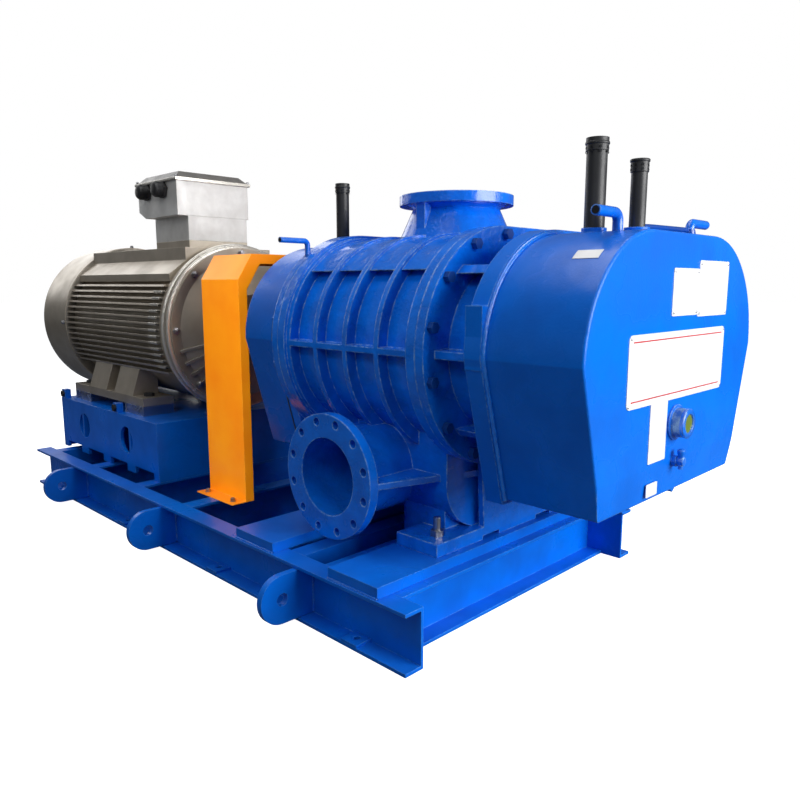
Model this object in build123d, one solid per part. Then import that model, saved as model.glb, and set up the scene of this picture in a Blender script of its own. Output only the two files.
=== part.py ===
from build123d import *
from math import acos, cos, hypot, pi, sin, sqrt, tan
import os

# A motor-driven two-lobe rotary blower (roots type) on a welded channel base.
# Frame: origin in the middle of the base on the floor, +X from the motor to
# the timing-gear end, -Y the discharge side, +Z up. Millimetres.

# ---------------------------------------------------------------- blower axes
axis_height = 840.0        # both rotor axes and the motor axis above the floor
axis_spacing = 400.0       # between the two rotor axes
drive_y = -70.0            # drive rotor, coupling and motor axis
running_gap = 0.05         # radial clearance of a shaft turning in a hole
driven_y = drive_y + axis_spacing
mid_y = drive_y + axis_spacing / 2
pitch_r = axis_spacing / 2

# ------------------------------------------------------------------- stations
casing_start = 561.0       # drive-end face of the casing
casing_length = 645.0
end_flange_t = 36.0        # casing end flanges
plate_flange_t = 32.0      # side-plate flanges
drive_waist = 43.0         # neck of the drive side plate
oil_cover_length = 175.0
gear_waist = 128.0         # neck of the gear side plate
housing_flange_t = 56.0
housing_length = 295.0     # gear housing beyond its flange
casing_end = casing_start + casing_length
casing_mid = casing_start + casing_length / 2
drive_plate_start = casing_start - plate_flange_t - drive_waist
oil_cover_start = drive_plate_start - oil_cover_length
gear_plate_end = casing_end + plate_flange_t + gear_waist
housing_end = gear_plate_end + housing_flange_t + housing_length

# --------------------------------------------------------------------- rotors
rotor_inset = 0.75         # taken off the cycloid all round, for the mesh gap
tip_gap = 2.0              # rotor tip to casing bore
rotor_end_gap = 1.5        # rotor end to side plate
rotor_core_hole_r = 42.0   # lightening hole in each lobe
rotor_core_hole_at = 185.0
rotor_bore_r = 68.0
tip_r = 1.5 * pitch_r
bore_r = tip_r - rotor_inset + tip_gap

# --------------------------------------------------------------------- casing
casing_wall = 20.5
rib_depth = 38.0           # ribs stand this far off the shell
hood_drop = 9.0            # hood surface below the rib crowns
rib_t = 20.0
rib_count = 4
flange_proud = 11.0        # end flanges stand proud of the ribs
hood_edge = 238.0          # lower edge of the top hood, above the axes
casing_r = bore_r + casing_wall
rib_r = casing_r + rib_depth
flange_r = rib_r + flange_proud

# -------------------------------------------------------------- inlet, outlet
port_bore_r = 125.0
port_flange_r = 202.5
port_flange_t = 34.0
port_pcd = 355.0
port_hole_r = 13.0
port_holes = 12
inlet_height = 1342.0      # face of the inlet flange
neck_root_r = 212.0
neck_r = 150.0
neck_sink = 30.0           # neck root below the rib crowns
neck_gusset_t = 40.0
neck_gusset_reach = 188.0  # outer edge of the neck gussets from the port axis
port_offset = -13.5        # both ports from the casing middle
outlet_height = 434.0      # centre of the discharge flange
outlet_reach = 618.0       # from the blower mid plane to the discharge face
outlet_y = mid_y - outlet_reach
port_x = casing_mid + port_offset
trough_width = 760.0
trough_floor = 250.0
trough_wall = 20.0
trough_corner = 170.0
trough_sink = 60.0         # trough walls run this far up into the shell
sump_x = (930.0, 1130.0)   # drain sump under the chamber
sump_y = (-215.0, -60.0)
sump_top = 330.0
sump_gap = 4.0             # sump above the cross beams
sump_round = 30.0
throat_depth = 0.6         # gas passages start this share of the bore radius off the axes
trough_inset = 39.0        # trough ends stand back from the casing ends

# ------------------------------------------------------- base frame and feet
frame_length = 2700.0
frame_width = 1246.0       # over the channel flange tips
channel_h = 180.0
channel_flange = 70.0
channel_web = 9.0
channel_flange_t = 10.5
end_beam_inset = 80.0      # end beams stand back from the rail ends
sole_t = 34.0
sole_length = 211.0
sole_edge = 9.0            # sole plate stands back from the flange tip
sole_overhang = 27.0       # sole plate reaches past the casing end
foot_t = 42.0
foot_length = 172.0
foot_width = 936.0
leg_width = 478.0
leg_spread = 18.0
relief_width = 86.0        # slots under the casing feet
relief_height = 13.0
relief_y = (-199.0, 102.0, 403.0)
beam_gap_half = 51.0       # half of the clear gap under the casing middle
beam_pitch = 105.0         # between the two beams under each foot
sole_top = channel_h + sole_t
foot_top = sole_top + foot_t

lug_t = 22.0
lug_r = 78.0
lug_reach = 119.0          # lug hole beyond the rail web
lug_hole_r = 20.0
lug_x = (-875.0, 0.0, 875.0)
pad_size = 66.0
pad_t = 8.0
anchor_hole_r = 11.0
anchor_x = (-1120.0, -370.0, 370.0, 1120.0)
anchor_from_tip = 34.0

# ------------------------------------------------------------ housing outline
cover_r = 337.0            # top corners of gear housing and oil cover
cover_depth = 403.0        # flat bottom below the axes
cover_foot_half = 426.0    # half width of the flat bottom
cover_wall = 14.0
cover_edge_r = 7.0
cover_foot_r = 8.0
apron_h = 96.0             # lower strip of the end face that leans back
apron_lean = 8.0
wedge_y = (-90.0, 220.0)   # small feet under the gear housing
wedge_width = 100.0
wedge_h = 34.0
wedge_t = 24.0
wedge_inset = 40.0
housing_flange_proud = 13.0
pad_half = 545.0           # side pads of the housing flange
pad_top = 141.0
pad_bottom = 30.0
waist_r = 262.0
waist_rib_t = 24.0

# ---------------------------------------------------------- shafts, bearings
shaft_r = 60.0             # in the bearings and timing gears
shaft_end_r = 48.0         # in the coupling
bearing_r = 112.0
bearing_mid_r = 88.0
drive_bearing_w = 46.0
gear_bearing_w = 60.0
seal_r = 84.0
seal_w = 24.0
shaft_tail = 26.0          # shaft beyond the timing gears

# --------------------------------------------------------------- timing gears
gear_module = 10.0
gear_teeth = 40
gear_width = 96.0
gear_from_plate = 66.0
gear_thinning = 0.5        # backlash allowance on each tooth thickness
pressure_angle = 20.0
gear_hub_r = 96.0
gear_hub_w = 14.0

# ------------------------------------------------------------------- coupling
coupling_x = 90.0          # middle plane of the coupling
coupling_gap = 4.0
coupling_r = 165.0
coupling_flange_t = 48.0
hub_r = 84.0
hub_length = 92.0
pin_count = 8
pin_pcd_r = 128.0
pin_r = 14.0
pin_head_r = 20.0
pin_head_t = 10.0

guard_x0 = -45.0
guard_width = 268.0
guard_half = 301.0         # outside half width about the drive axis
guard_top = 1150.0
guard_shoulder = 97.0      # corner chamfer drop
guard_chamfer = 63.0
guard_sheet = 4.0
guard_return = 38.0
guard_foot = 62.0

# ---------------------------------------------------------------------- motor
motor_start = -1271.0      # fan end of the finned frame
motor_length = 1021.0
motor_core_r = 342.0
fin_r = 378.0
fin_t = 9.0
fin_pitch = 27.0
fin_rows = 15
frame_bore_r = 300.0
frame_band = 58.0          # plain band at the drive end of the fins
back_half = 220.0          # flat raised back on top of the frame
back_top = 355.0
back_drop = 55.0
panel_half = 300.0         # leaning smooth panels beside it
panel_bottom = 240.0
panel_lip = 32.0
stator_length = 620.0
airgap = 1.5
motor_rotor_r = 195.0
motor_shaft_r = 50.0
motor_bearing_r = 100.0
motor_bearing_mid_r = 76.0
motor_bearing_w = 48.0
shield_rim_t = 35.0
shield_rim_r = 354.0
shield_dome = 96.0
shield_nose_r = 150.0
shield_step = 44.0         # dome foot inside the rim
shield_lip = 12.0          # wall outside the bearing
shield_relief = 20.0       # turned space around the bearing
seat_wall = 24.0
fan_shield_t = 24.0
cowl_length = 340.0
cowl_r = 390.0
cowl_sheet = 4.0
cowl_round = 46.0
grille_rings = 6
grille_bar = 9.0
grille_spokes = 8
fan_r = 330.0
fan_width = 96.0
fan_blades = 9
fan_hub_r = 80.0
fan_sheet = 6.0
fan_gap = 40.0             # fan to the end shield
foot_hole_half = 305.0     # half of the motor foot hole spacing across
motor_foot_half = 365.0
motor_foot_length = 773.0
motor_foot_inset = 8.0     # feet start inside the fan end of the frame
motor_foot_width = 150.0
motor_foot_t = 38.0
packer_t = 44.0
packer_length = 190.0
shaft_height = 355.0       # motor axis above its feet

pedestal_start = -1350.0
pedestal_end = -283.0
pedestal_half = 409.0
pedestal_plate = 16.0
pedestal_top_t = 25.0
pedestal_hole_r = 62.0
pedestal_hole_x = (-1064.0, -588.0)
pedestal_hole_z = 325.0
pedestal_slot_h = 34.0
pedestal_bays = 4
pedestal_slot_share = 0.7
jack_x = (-1318.0, -690.0)
jack_size = 44.0
jack_bolt_r = 10.0
jack_depth = 30.0

riser_x0 = -700.0
riser_length = 309.0
riser_width = 303.0
riser_y0 = -222.0
riser_bottom = 1230.0
box_x0 = -756.0
box_length = 365.0
box_y0 = -272.0
box_width = 364.0
box_bottom = 1337.0
box_height = 150.0
box_wall = 8.0
lid_height = 42.0
lid_lip = 10.0
gland_x = (-655.0, -505.0)
gland_z = 1452.0
gland_r = 30.0
gland_length = 46.0
gland_stem_r = 18.0
box_slope = 64.0           # sloped lower edge at the fan side
lid_rim = 12.0

motor_end = motor_start + motor_length
motor_foot_start = motor_start + motor_foot_inset
cowl_start = motor_start - cowl_length
foot_z = axis_height - shaft_height
pedestal_top = foot_z - packer_t


# -------------------------------------------------------------------- helpers
def block(x0, x1, y0, y1, z0, z1):
    """A box given by its limits."""
    centre = Pos((x0 + x1) / 2, (y0 + y1) / 2, (z0 + z1) / 2)
    return centre * Box(abs(x1 - x0), abs(y1 - y0), abs(z1 - z0))


def along_x(sketch, x0, x1):
    """A sketch in (Y, Z) pulled from x0 to x1."""
    return extrude(Plane.YZ.offset(x0) * sketch, amount=x1 - x0)


def disc(x0, x1, y, z, r):
    """A round bar lying along X."""
    return along_x(Pos(y, z) * Circle(r), x0, x1)


def ring(x0, x1, y, z, r, hole_r):
    """A plain ring lying along X."""
    return along_x(Pos(y, z) * (Circle(r) - Circle(hole_r)), x0, x1)


def post(x, y, z0, z1, r):
    """A round bar standing up."""
    return Pos(x, y, (z0 + z1) / 2) * Cylinder(r, z1 - z0)


def hexagon(across_flats):
    """A hexagon with its flats up and down."""
    return RegularPolygon(across_flats / 2, 6, major_radius=False)


def both_axes(r):
    """The long round-ended outline about the two rotor axes."""
    return Pos(mid_y, axis_height) * SlotCenterToCenter(axis_spacing, 2 * r)


def group(solids):
    """Separate solids kept in one node."""
    return Compound(children=list(solids))


# ----------------------------------------------------------------- base frame
def channel_section():
    """Channel with its web on the left and its flanges to the right."""
    outer = Pos(channel_flange / 2, channel_h / 2) * Rectangle(channel_flange, channel_h)
    inner_h = channel_h - 2 * channel_flange_t
    inner_w = channel_flange - channel_web
    inner = Pos(channel_web + inner_w / 2, channel_h / 2) * Rectangle(inner_w, inner_h)
    return outer - inner


web_y = frame_width / 2 - channel_flange


def rail(side):
    """A long rail; side is -1 at the discharge side and +1 at the back."""
    section = channel_section()
    bar = extrude(Plane.YZ.offset(-frame_length / 2) * section, amount=frame_length)
    bar = Pos(0, web_y, 0) * bar
    for x in anchor_x:
        bar -= post(x, frame_width / 2 - anchor_from_tip, 0, channel_flange_t, anchor_hole_r)
    return bar if side > 0 else mirror(bar, Plane.XZ)


def cross_beam(x, way):
    """A channel between the rails with its web at x and flanges towards way."""
    section = channel_section()
    bar = extrude(Plane.XZ.offset(-web_y) * section, amount=2 * web_y)
    if way < 0:
        bar = mirror(bar, Plane.YZ)
    return Pos(x, 0, 0) * bar


def beam_places():
    """Web position and flange direction of every cross beam."""
    end = frame_length / 2 - end_beam_inset - channel_flange
    first = casing_mid + beam_gap_half
    second = first + beam_pitch
    pedestal_mid = (pedestal_start + pedestal_end) / 2
    guard_mid = guard_x0 + guard_width / 2
    return (
        (-end, -1),
        (pedestal_mid, 1),
        (pedestal_end - channel_flange, 1),
        (guard_mid - channel_flange / 2, 1),
        (2 * casing_mid - second, -1),
        (2 * casing_mid - first, -1),
        (first, 1),
        (second, 1),
        (end, 1),
    )


def lifting_lug(x, side):
    """A rounded eye plate welded across the rail."""
    root = web_y + channel_web
    eye_y = root + lug_reach
    mid_z = channel_h / 2
    half = min(lug_r, channel_h / 2 - channel_flange_t)
    tongue = Pos((root + eye_y) / 2, mid_z) * Rectangle(lug_reach, 2 * half)
    eye = Pos(eye_y, mid_z)
    outline = tongue + eye * Circle(half) - eye * Circle(lug_hole_r)
    lug = along_x(outline, x - lug_t / 2, x + lug_t / 2)
    return lug if side > 0 else mirror(lug, Plane.XZ)


def anchor_pad(x, side):
    """A thick washer plate under each anchor bolt."""
    y = frame_width / 2 - anchor_from_tip
    half = pad_size / 2
    inner = max(y - half, web_y + channel_web)
    pad = block(x - half, x + half, inner, frame_width / 2,
                channel_flange_t, channel_flange_t + pad_t)
    pad -= post(x, y, channel_flange_t, channel_flange_t + pad_t, anchor_hole_r)
    return pad if side > 0 else mirror(pad, Plane.XZ)


def sole_plate(x0):
    """A machined plate across the frame under one pair of casing feet."""
    edge = frame_width / 2 - sole_edge
    return block(x0, x0 + sole_length, -edge, edge, channel_h, sole_top)


gear_sole_x = casing_end + sole_overhang - sole_length
drive_sole_x = 2 * casing_mid - gear_sole_x - sole_length


# --------------------------------------------------------------------- casing
def port_flange():
    """A drilled pipe flange lying flat with its face up at z = 0."""
    plate = Pos(0, 0, -port_flange_t / 2) * Cylinder(port_flange_r, port_flange_t)
    hole = Cylinder(port_hole_r, 3 * port_flange_t)
    plate -= PolarLocations(port_pcd / 2, port_holes, start_angle=180 / port_holes) * hole
    return plate


def trough_section(inset):
    """The round-bottomed discharge chamber below the rotors."""
    top = axis_height - bore_r + trough_sink
    bottom = trough_floor + inset
    width = trough_width - 2 * inset
    box = Pos(mid_y, (top + bottom) / 2) * Rectangle(width, top - bottom)
    corners = box.vertices().sort_by(Axis.Y)[:2]
    return fillet(corners, trough_corner - inset)


def leg_section():
    """A spreading leg plate from the foot up to the casing flange."""
    half = leg_width / 2
    top = half + leg_spread
    top_z = axis_height - bore_r
    return make_face(Polyline(
        (mid_y - half, foot_top),
        (mid_y + half, foot_top),
        (mid_y + top, top_z),
        (mid_y - top, top_z),
        close=True,
    ))


def outlet_rib(pipe_back):
    """A level web from the discharge flange back to the front edges of both legs."""
    leg_y = mid_y - leg_width / 2
    flange_back = outlet_y + port_flange_t
    web = make_face(Polyline(
        (port_x - port_flange_r, flange_back),
        (port_x + port_flange_r, flange_back),
        (casing_end - rib_t, leg_y),
        (casing_end - rib_t, leg_y + rib_t),
        (port_x + neck_r, pipe_back + trough_wall),
        (port_x - neck_r, pipe_back + trough_wall),
        (casing_start + rib_t, leg_y + rib_t),
        (casing_start + rib_t, leg_y),
        close=True,
    ))
    web = extrude(Plane.XY.offset(outlet_height - rib_t / 2) * web, amount=rib_t)
    inside = along_x(trough_section(trough_wall), casing_start + trough_inset + trough_wall,
                     casing_end - trough_inset - trough_wall)
    return web - inside


def sump():
    """A rounded drain box under the near side of the chamber."""
    box = block(*sump_x, *sump_y, channel_h + sump_gap, sump_top)
    near = box.edges().filter_by(Axis.Z).sort_by(Axis.X)[:2]
    box = fillet(near, sump_round)
    box -= block(gear_sole_x - sump_gap, sump_x[1], *sump_y, channel_h, sole_top)
    return box - along_x(trough_section(trough_wall), *sump_x)


def casing():
    """The cast body: ribbed shell, hood, ports, chamber, legs and feet."""
    shell = along_x(both_axes(casing_r), casing_start, casing_end)
    inner_start = casing_start + end_flange_t
    inner_end = casing_end - end_flange_t
    hood_z = axis_height + hood_edge
    hood = along_x(both_axes(rib_r - hood_drop), inner_start, inner_end)
    half = pitch_r + rib_r
    hood &= block(inner_start, inner_end, mid_y - half, mid_y + half, hood_z, axis_height + rib_r)
    shell += hood

    rib_step = (inner_end - inner_start) / rib_count
    for n in range(rib_count):
        x = inner_start + n * rib_step
        shell += along_x(both_axes(rib_r), x, x + rib_t)
    shell += block(inner_start, inner_end, mid_y - half, mid_y + half,
                   axis_height - rib_t / 2, axis_height + rib_t / 2)
    for x in (casing_start, casing_end - end_flange_t):
        shell += along_x(both_axes(flange_r), x, x + end_flange_t)

    chamber = along_x(trough_section(0), casing_start + trough_inset, casing_end - trough_inset)
    gap = trough_inset + trough_wall
    chamber -= along_x(trough_section(trough_wall), casing_start + gap, casing_end - gap)
    shell += chamber
    shell += sump()
    pipe_back = mid_y - trough_width / 2 + trough_wall
    shell += outlet_rib(pipe_back)

    for x, foot_x in ((casing_start, casing_start), (casing_end - rib_t, casing_end - foot_length)):
        shell += along_x(leg_section(), x, x + rib_t)
        foot = block(foot_x, foot_x + foot_length, mid_y - foot_width / 2,
                     mid_y + foot_width / 2, sole_top, foot_top)
        for y in relief_y:
            foot -= block(foot_x, foot_x + foot_length, mid_y + y - relief_width / 2,
                          mid_y + y + relief_width / 2, sole_top, sole_top + relief_height)
        shell += foot

    neck_bottom = axis_height + rib_r - neck_sink
    neck_top = inlet_height - port_flange_t
    neck = Cone(neck_root_r, neck_r, neck_top - neck_bottom)
    shell += Pos(port_x, mid_y, (neck_top + neck_bottom) / 2) * neck
    shell += block(port_x - neck_gusset_t / 2, port_x + neck_gusset_t / 2,
                   mid_y - neck_gusset_reach, mid_y + neck_gusset_reach, neck_bottom, neck_top)
    shell += Pos(port_x, mid_y, inlet_height) * port_flange()

    pipe_length = pipe_back - outlet_y - port_flange_t
    pipe = Rot(90, 0, 0) * Cylinder(neck_r, pipe_length)
    shell += Pos(port_x, pipe_back - pipe_length / 2, outlet_height) * pipe
    shell += Pos(port_x, outlet_y, outlet_height) * (Rot(90, 0, 0) * port_flange())

    for y in (drive_y, driven_y):
        shell -= disc(casing_start, casing_end, y, axis_height, bore_r)
    inlet_hole_z = axis_height + bore_r * throat_depth
    shell -= post(port_x, mid_y, inlet_hole_z, inlet_height, port_bore_r)
    outlet_hole = Rot(90, 0, 0) * Cylinder(port_bore_r, outlet_reach)
    shell -= Pos(port_x, mid_y - outlet_reach / 2, outlet_height) * outlet_hole
    shell -= block(casing_start + gap, casing_end - gap, mid_y - port_bore_r, mid_y + port_bore_r,
                   outlet_height, axis_height - bore_r * throat_depth)
    return shell


# ---------------------------------------------------- side plates and covers
def cover_outline(grow=0.0):
    """Round shoulders about the rotor axes, tapering to a flat bottom."""
    r = cover_r + grow
    half = pitch_r + r
    foot = cover_foot_half + grow
    bottom = axis_height - cover_depth - grow
    top = both_axes(r)
    taper = make_face(Polyline(
        (mid_y - half, axis_height),
        (mid_y - foot, bottom),
        (mid_y + foot, bottom),
        (mid_y + half, axis_height),
        close=True,
    ))
    taper = fillet(taper.vertices().sort_by(Axis.Y)[:2], cover_foot_r)
    upper = Pos(mid_y, axis_height + r / 2) * Rectangle(2 * half, r)
    return (top & upper) + taper


def shaft_holes(part, x0, x1, r):
    """Bores a hole about both rotor axes."""
    for y in (drive_y, driven_y):
        part -= disc(x0, x1, y, axis_height, r)
    return part


def drive_side_plate():
    """End wall at the coupling side, with both bearing seats."""
    end = casing_start
    flange_x = end - plate_flange_t
    plate = along_x(both_axes(flange_r), flange_x, end)
    plate += along_x(cover_outline(), drive_plate_start, flange_x)
    plate = shaft_holes(plate, drive_plate_start, end, seal_r)
    return shaft_holes(plate, drive_plate_start, drive_plate_start + drive_bearing_w, bearing_r)


def gear_side_plate():
    """End wall at the gear side, with its deep ribbed neck."""
    flange_end = casing_end + plate_flange_t
    plate = along_x(both_axes(flange_r), casing_end, flange_end)
    plate += along_x(both_axes(waist_r), flange_end, gear_plate_end)
    reach = pitch_r + casing_r
    step = hood_edge
    for n in (-1, 0, 1):
        z = axis_height + n * step
        rib = block(flange_end, gear_plate_end, mid_y - reach, mid_y + reach,
                    z - waist_rib_t / 2, z + waist_rib_t / 2)
        plate += rib & along_x(both_axes(casing_r), flange_end, gear_plate_end)
    plate = shaft_holes(plate, casing_end, gear_plate_end, seal_r)
    return shaft_holes(plate, gear_plate_end - gear_bearing_w, gear_plate_end, bearing_r)


boss_r = 34.0
boss_h = 10.0
breather_places = (
    (housing_end - 174.0, mid_y - 213.0, 28.0, 236.0),
    (housing_end - 81.0, mid_y - 150.0, 21.5, 178.0),
    (oil_cover_start + 103.0, mid_y - 141.0, 25.0, 230.0),
)


def cover_boss(place):
    """A round socket boss on top of a cover."""
    x, y = place[0], place[1]
    top = axis_height + cover_r
    return post(x, y, top - cover_wall, top + boss_h, boss_r)


def oil_cover():
    """Drive-end oil cover around the drive shaft."""
    cover = along_x(cover_outline(), oil_cover_start, drive_plate_start)
    rim = cover.faces().sort_by(Axis.X)[0].edges()
    cover = fillet(rim, cover_edge_r)
    cover += cover_boss(breather_places[2])
    inner = along_x(cover_outline(-cover_wall), oil_cover_start + cover_wall, drive_plate_start)
    cover -= inner
    return cover - disc(oil_cover_start, drive_plate_start, drive_y, axis_height,
                        shaft_end_r + running_gap)


def gear_housing():
    """Deep cover over the timing gears, with its thick bolting flange."""
    flange_end = gear_plate_end + housing_flange_t
    house = along_x(cover_outline(), gear_plate_end, housing_end)
    rim = house.faces().sort_by(Axis.X)[-1].edges()
    house = fillet(rim, cover_edge_r)
    house += along_x(cover_outline(housing_flange_proud), gear_plate_end, flange_end)
    house += block(gear_plate_end, flange_end, mid_y - pad_half, mid_y + pad_half,
                   axis_height - pad_bottom, axis_height + pad_top)
    for place in breather_places[:2]:
        house += cover_boss(place)
    house -= along_x(cover_outline(-cover_wall), gear_plate_end, housing_end - cover_wall)
    bottom = axis_height - cover_depth
    lean = make_face(Polyline(
        (housing_end, bottom + apron_h),
        (housing_end, bottom),
        (housing_end - apron_lean, bottom),
        close=True,
    ))
    half = pitch_r + cover_r
    house -= extrude(Plane.XZ.offset(-mid_y - half) * lean, amount=2 * half)
    for y in wedge_y:
        wedge = make_face(Polyline(
            (y - wedge_width / 2, bottom),
            (y, bottom - wedge_h),
            (y + wedge_width / 2, bottom),
            (y, bottom + cover_wall),
            close=True,
        ))
        end = housing_end - wedge_inset
        house += along_x(wedge, end - wedge_t, end)
    return house


sight_y = mid_y - 17.0
sight_z = axis_height - 196.0
sight_body_r = 40.0
sight_body_l = 40.0
sight_lens_r = 26.0
sight_lens_t = 8.0
drain_y = mid_y - 15.0
drain_z = axis_height - 310.0
plug_r = 15.0


def sight_glass_body():
    """Round bezel that holds the oil sight glass."""
    body = disc(housing_end, housing_end + sight_body_l, sight_y, sight_z, sight_body_r)
    front = housing_end + sight_body_l
    return body - disc(front - sight_lens_t, front, sight_y, sight_z, sight_lens_r)


def sight_glass_lens():
    """Glass disc seated in its bezel."""
    front = housing_end + sight_body_l
    return disc(front - sight_lens_t, front, sight_y, sight_z, sight_lens_r)


def drain_plugs():
    """Hex oil plugs low on both covers."""
    head = along_x(Pos(drain_y, drain_z) * hexagon(2 * plug_r), housing_end, housing_end + plug_r)
    other = along_x(Pos(drain_y, drain_z) * hexagon(2 * plug_r),
                    oil_cover_start - plug_r, oil_cover_start)
    return group((head, other))


cap_h = 34.0
cap_proud = 2.5


def breather_pipes():
    """Standpipes on the covers."""
    base = axis_height + cover_r + boss_h
    return group(post(x, y, base, base + h - cap_h, r) for x, y, r, h in breather_places)


def breather_caps():
    """Round caps on the standpipes."""
    base = axis_height + cover_r + boss_h
    return group(post(x, y, base + h - cap_h, base + h, r + cap_proud)
                 for x, y, r, h in breather_places)


elbow_rise = 46.0
elbow_arm = 118.0
small_elbow_r = 9.5
large_elbow_r = 14.0
elbow_places = (
    (casing_start - plate_flange_t / 2, drive_y - 220.0, flange_r, small_elbow_r, -1),
    (housing_end - 97.0, drive_y - 26.0, cover_r, large_elbow_r, -1),
    (housing_end - 97.0, driven_y + 30.0, cover_r, large_elbow_r, 1),
)


def vent_elbow(x, y, seat_r, pipe_r, way):
    """A small bent pipe standing on a round shoulder, its arm towards way along Y."""
    near = drive_y if y < mid_y else driven_y
    seat = axis_height + sqrt(seat_r ** 2 - (y - near) ** 2)
    start = seat - pipe_r
    top = seat + elbow_rise
    tip = y + way * elbow_arm
    path = FilletPolyline((x, y, start), (x, y, top), (x, tip, top), radius=1.6 * pipe_r)
    bent = sweep(Plane((x, y, start), z_dir=(0, 0, 1)) * Circle(pipe_r), path)
    return bent - disc(x - 2 * pipe_r, x + 2 * pipe_r, near, axis_height, seat_r)


# --------------------------------------------------------- rotors and shafts
def cycloid_point(angle, lobe):
    """A point on the two-lobe cycloid, set in by the mesh clearance."""
    rolling = pitch_r / 4
    if lobe:
        far = pitch_r + rolling
        x = far * cos(angle) - rolling * cos(far / rolling * angle)
        y = far * sin(angle) - rolling * sin(far / rolling * angle)
    else:
        near = pitch_r - rolling
        x = near * cos(angle) + rolling * cos(near / rolling * angle)
        y = near * sin(angle) - rolling * sin(near / rolling * angle)
    to_x = pitch_r * cos(angle) - x
    to_y = pitch_r * sin(angle) - y
    length = hypot(to_x, to_y)
    if length < rotor_inset:
        return x, y
    sign = 1 if lobe else -1
    return x + sign * rotor_inset * to_x / length, y + sign * rotor_inset * to_y / length


rotor_points = 14


def rotor_section():
    """Lobes up and down: hypocycloid waists joined to epicycloid lobes."""
    edges = []
    for quarter in range(4):
        lobe = quarter % 2 == 1
        points = []
        for n in range(rotor_points + 1):
            angle = (quarter - 0.5 + n / rotor_points) * pi / 2
            turned = angle - (quarter - 0.5) * pi / 2
            x, y = cycloid_point(turned, lobe)
            base = (quarter - 0.5) * pi / 2
            points.append((x * cos(base) - y * sin(base), x * sin(base) + y * cos(base)))
        edges.append(points)
    for n, points in enumerate(edges):
        following = edges[(n + 1) % 4]
        joint = ((points[-1][0] + following[0][0]) / 2, (points[-1][1] + following[0][1]) / 2)
        points[-1] = joint
        following[0] = joint
    return make_face([Spline(*points) for points in edges])


def rotor(y, turn):
    """One cored two-lobe impeller."""
    section = rotor_section() - Circle(rotor_bore_r)
    for side in (-1, 1):
        section -= Pos(0, side * rotor_core_hole_at) * Circle(rotor_core_hole_r)
    section = Pos(y, axis_height) * (Rot(0, 0, turn) * section)
    return along_x(section, casing_start + rotor_end_gap, casing_end - rotor_end_gap)


gear_start = gear_plate_end + gear_from_plate
gear_stop = gear_start + gear_width
shaft_stop = gear_stop + shaft_tail
hub_face = coupling_x + coupling_gap / 2


def blower_shaft(y, start):
    """A stepped rotor shaft ending in its timing gear."""
    shaft = disc(drive_plate_start, shaft_stop, y, axis_height, shaft_r)
    shaft += disc(casing_start + rotor_end_gap, casing_end - rotor_end_gap, y, axis_height,
                  rotor_bore_r)
    if start < drive_plate_start:
        shaft += disc(start, drive_plate_start, y, axis_height, shaft_end_r)
    return shaft


def involute(base_r, r):
    """Roll angle of an involute at radius r."""
    if r <= base_r:
        return 0.0
    lean = acos(base_r / r)
    return tan(lean) - lean


def timing_gear(y, phase):
    """A spur timing gear; both halves of a pair turn opposite ways."""
    pitch = gear_module * gear_teeth / 2
    lean = pressure_angle * pi / 180
    base_r = pitch * cos(lean)
    tip = pitch + gear_module
    root = pitch - 1.25 * gear_module
    half_tooth = pi / (2 * gear_teeth) - gear_thinning / 2 / pitch + tan(lean) - lean
    flank_r = [root, (base_r + pitch) / 2, pitch, (pitch + tip) / 2, tip]
    points = []
    for tooth in range(gear_teeth):
        middle = (tooth + phase) * 2 * pi / gear_teeth
        for side, radii in ((-1, flank_r), (1, flank_r[::-1])):
            for r in radii:
                angle = middle + side * (half_tooth - involute(base_r, r))
                points.append((r * cos(angle), r * sin(angle)))
    face = make_face(Polyline(*points, close=True)) - Circle(shaft_r)
    gear = along_x(Pos(y, axis_height) * face, gear_start, gear_stop)
    return gear + ring(gear_start - gear_hub_w, gear_start, y, axis_height, gear_hub_r, shaft_r)


def bearing_spans():
    """Where the two bearings of each blower shaft lie."""
    return (
        (drive_plate_start, drive_plate_start + drive_bearing_w),
        (gear_plate_end - gear_bearing_w, gear_plate_end),
    )


def bearing_outer_rings():
    """Outer races in the side plates."""
    return group(
        ring(x0, x1, y, axis_height, bearing_r, bearing_mid_r + running_gap)
        for y in (drive_y, driven_y)
        for x0, x1 in bearing_spans()
    )


def bearing_inner_rings(y):
    """Inner races and rollers on one shaft."""
    return group(ring(x0, x1, y, axis_height, bearing_mid_r, shaft_r) for x0, x1 in bearing_spans())


def shaft_seals():
    """Seal rings between the rotors and the bearings."""
    drive_x = drive_plate_start + drive_bearing_w
    gear_x = gear_plate_end - gear_bearing_w - seal_w
    return group(
        ring(x, x + w, y, axis_height, seal_r, shaft_r + running_gap)
        for y in (drive_y, driven_y)
        for x, w in ((drive_x, min(seal_w, casing_start - drive_x)), (gear_x, seal_w))
    )


# ------------------------------------------------------------------- coupling
def coupling_half(side, bore_radius):
    """A flanged hub; side is -1 on the motor and +1 on the blower."""
    face = coupling_x + side * coupling_gap / 2
    back = face + side * coupling_flange_t
    far = back + side * hub_length
    lo, hi = min(face, back), max(face, back)
    half = disc(lo, hi, drive_y, axis_height, coupling_r)
    half += disc(min(back, far), max(back, far), drive_y, axis_height, hub_r)
    for n in range(pin_count):
        angle = 2 * pi * n / pin_count
        y = drive_y + pin_pcd_r * cos(angle)
        z = axis_height + pin_pcd_r * sin(angle)
        half -= disc(lo, hi, y, z, pin_r)
    return half - disc(min(face, far), max(face, far), drive_y, axis_height, bore_radius)


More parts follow.
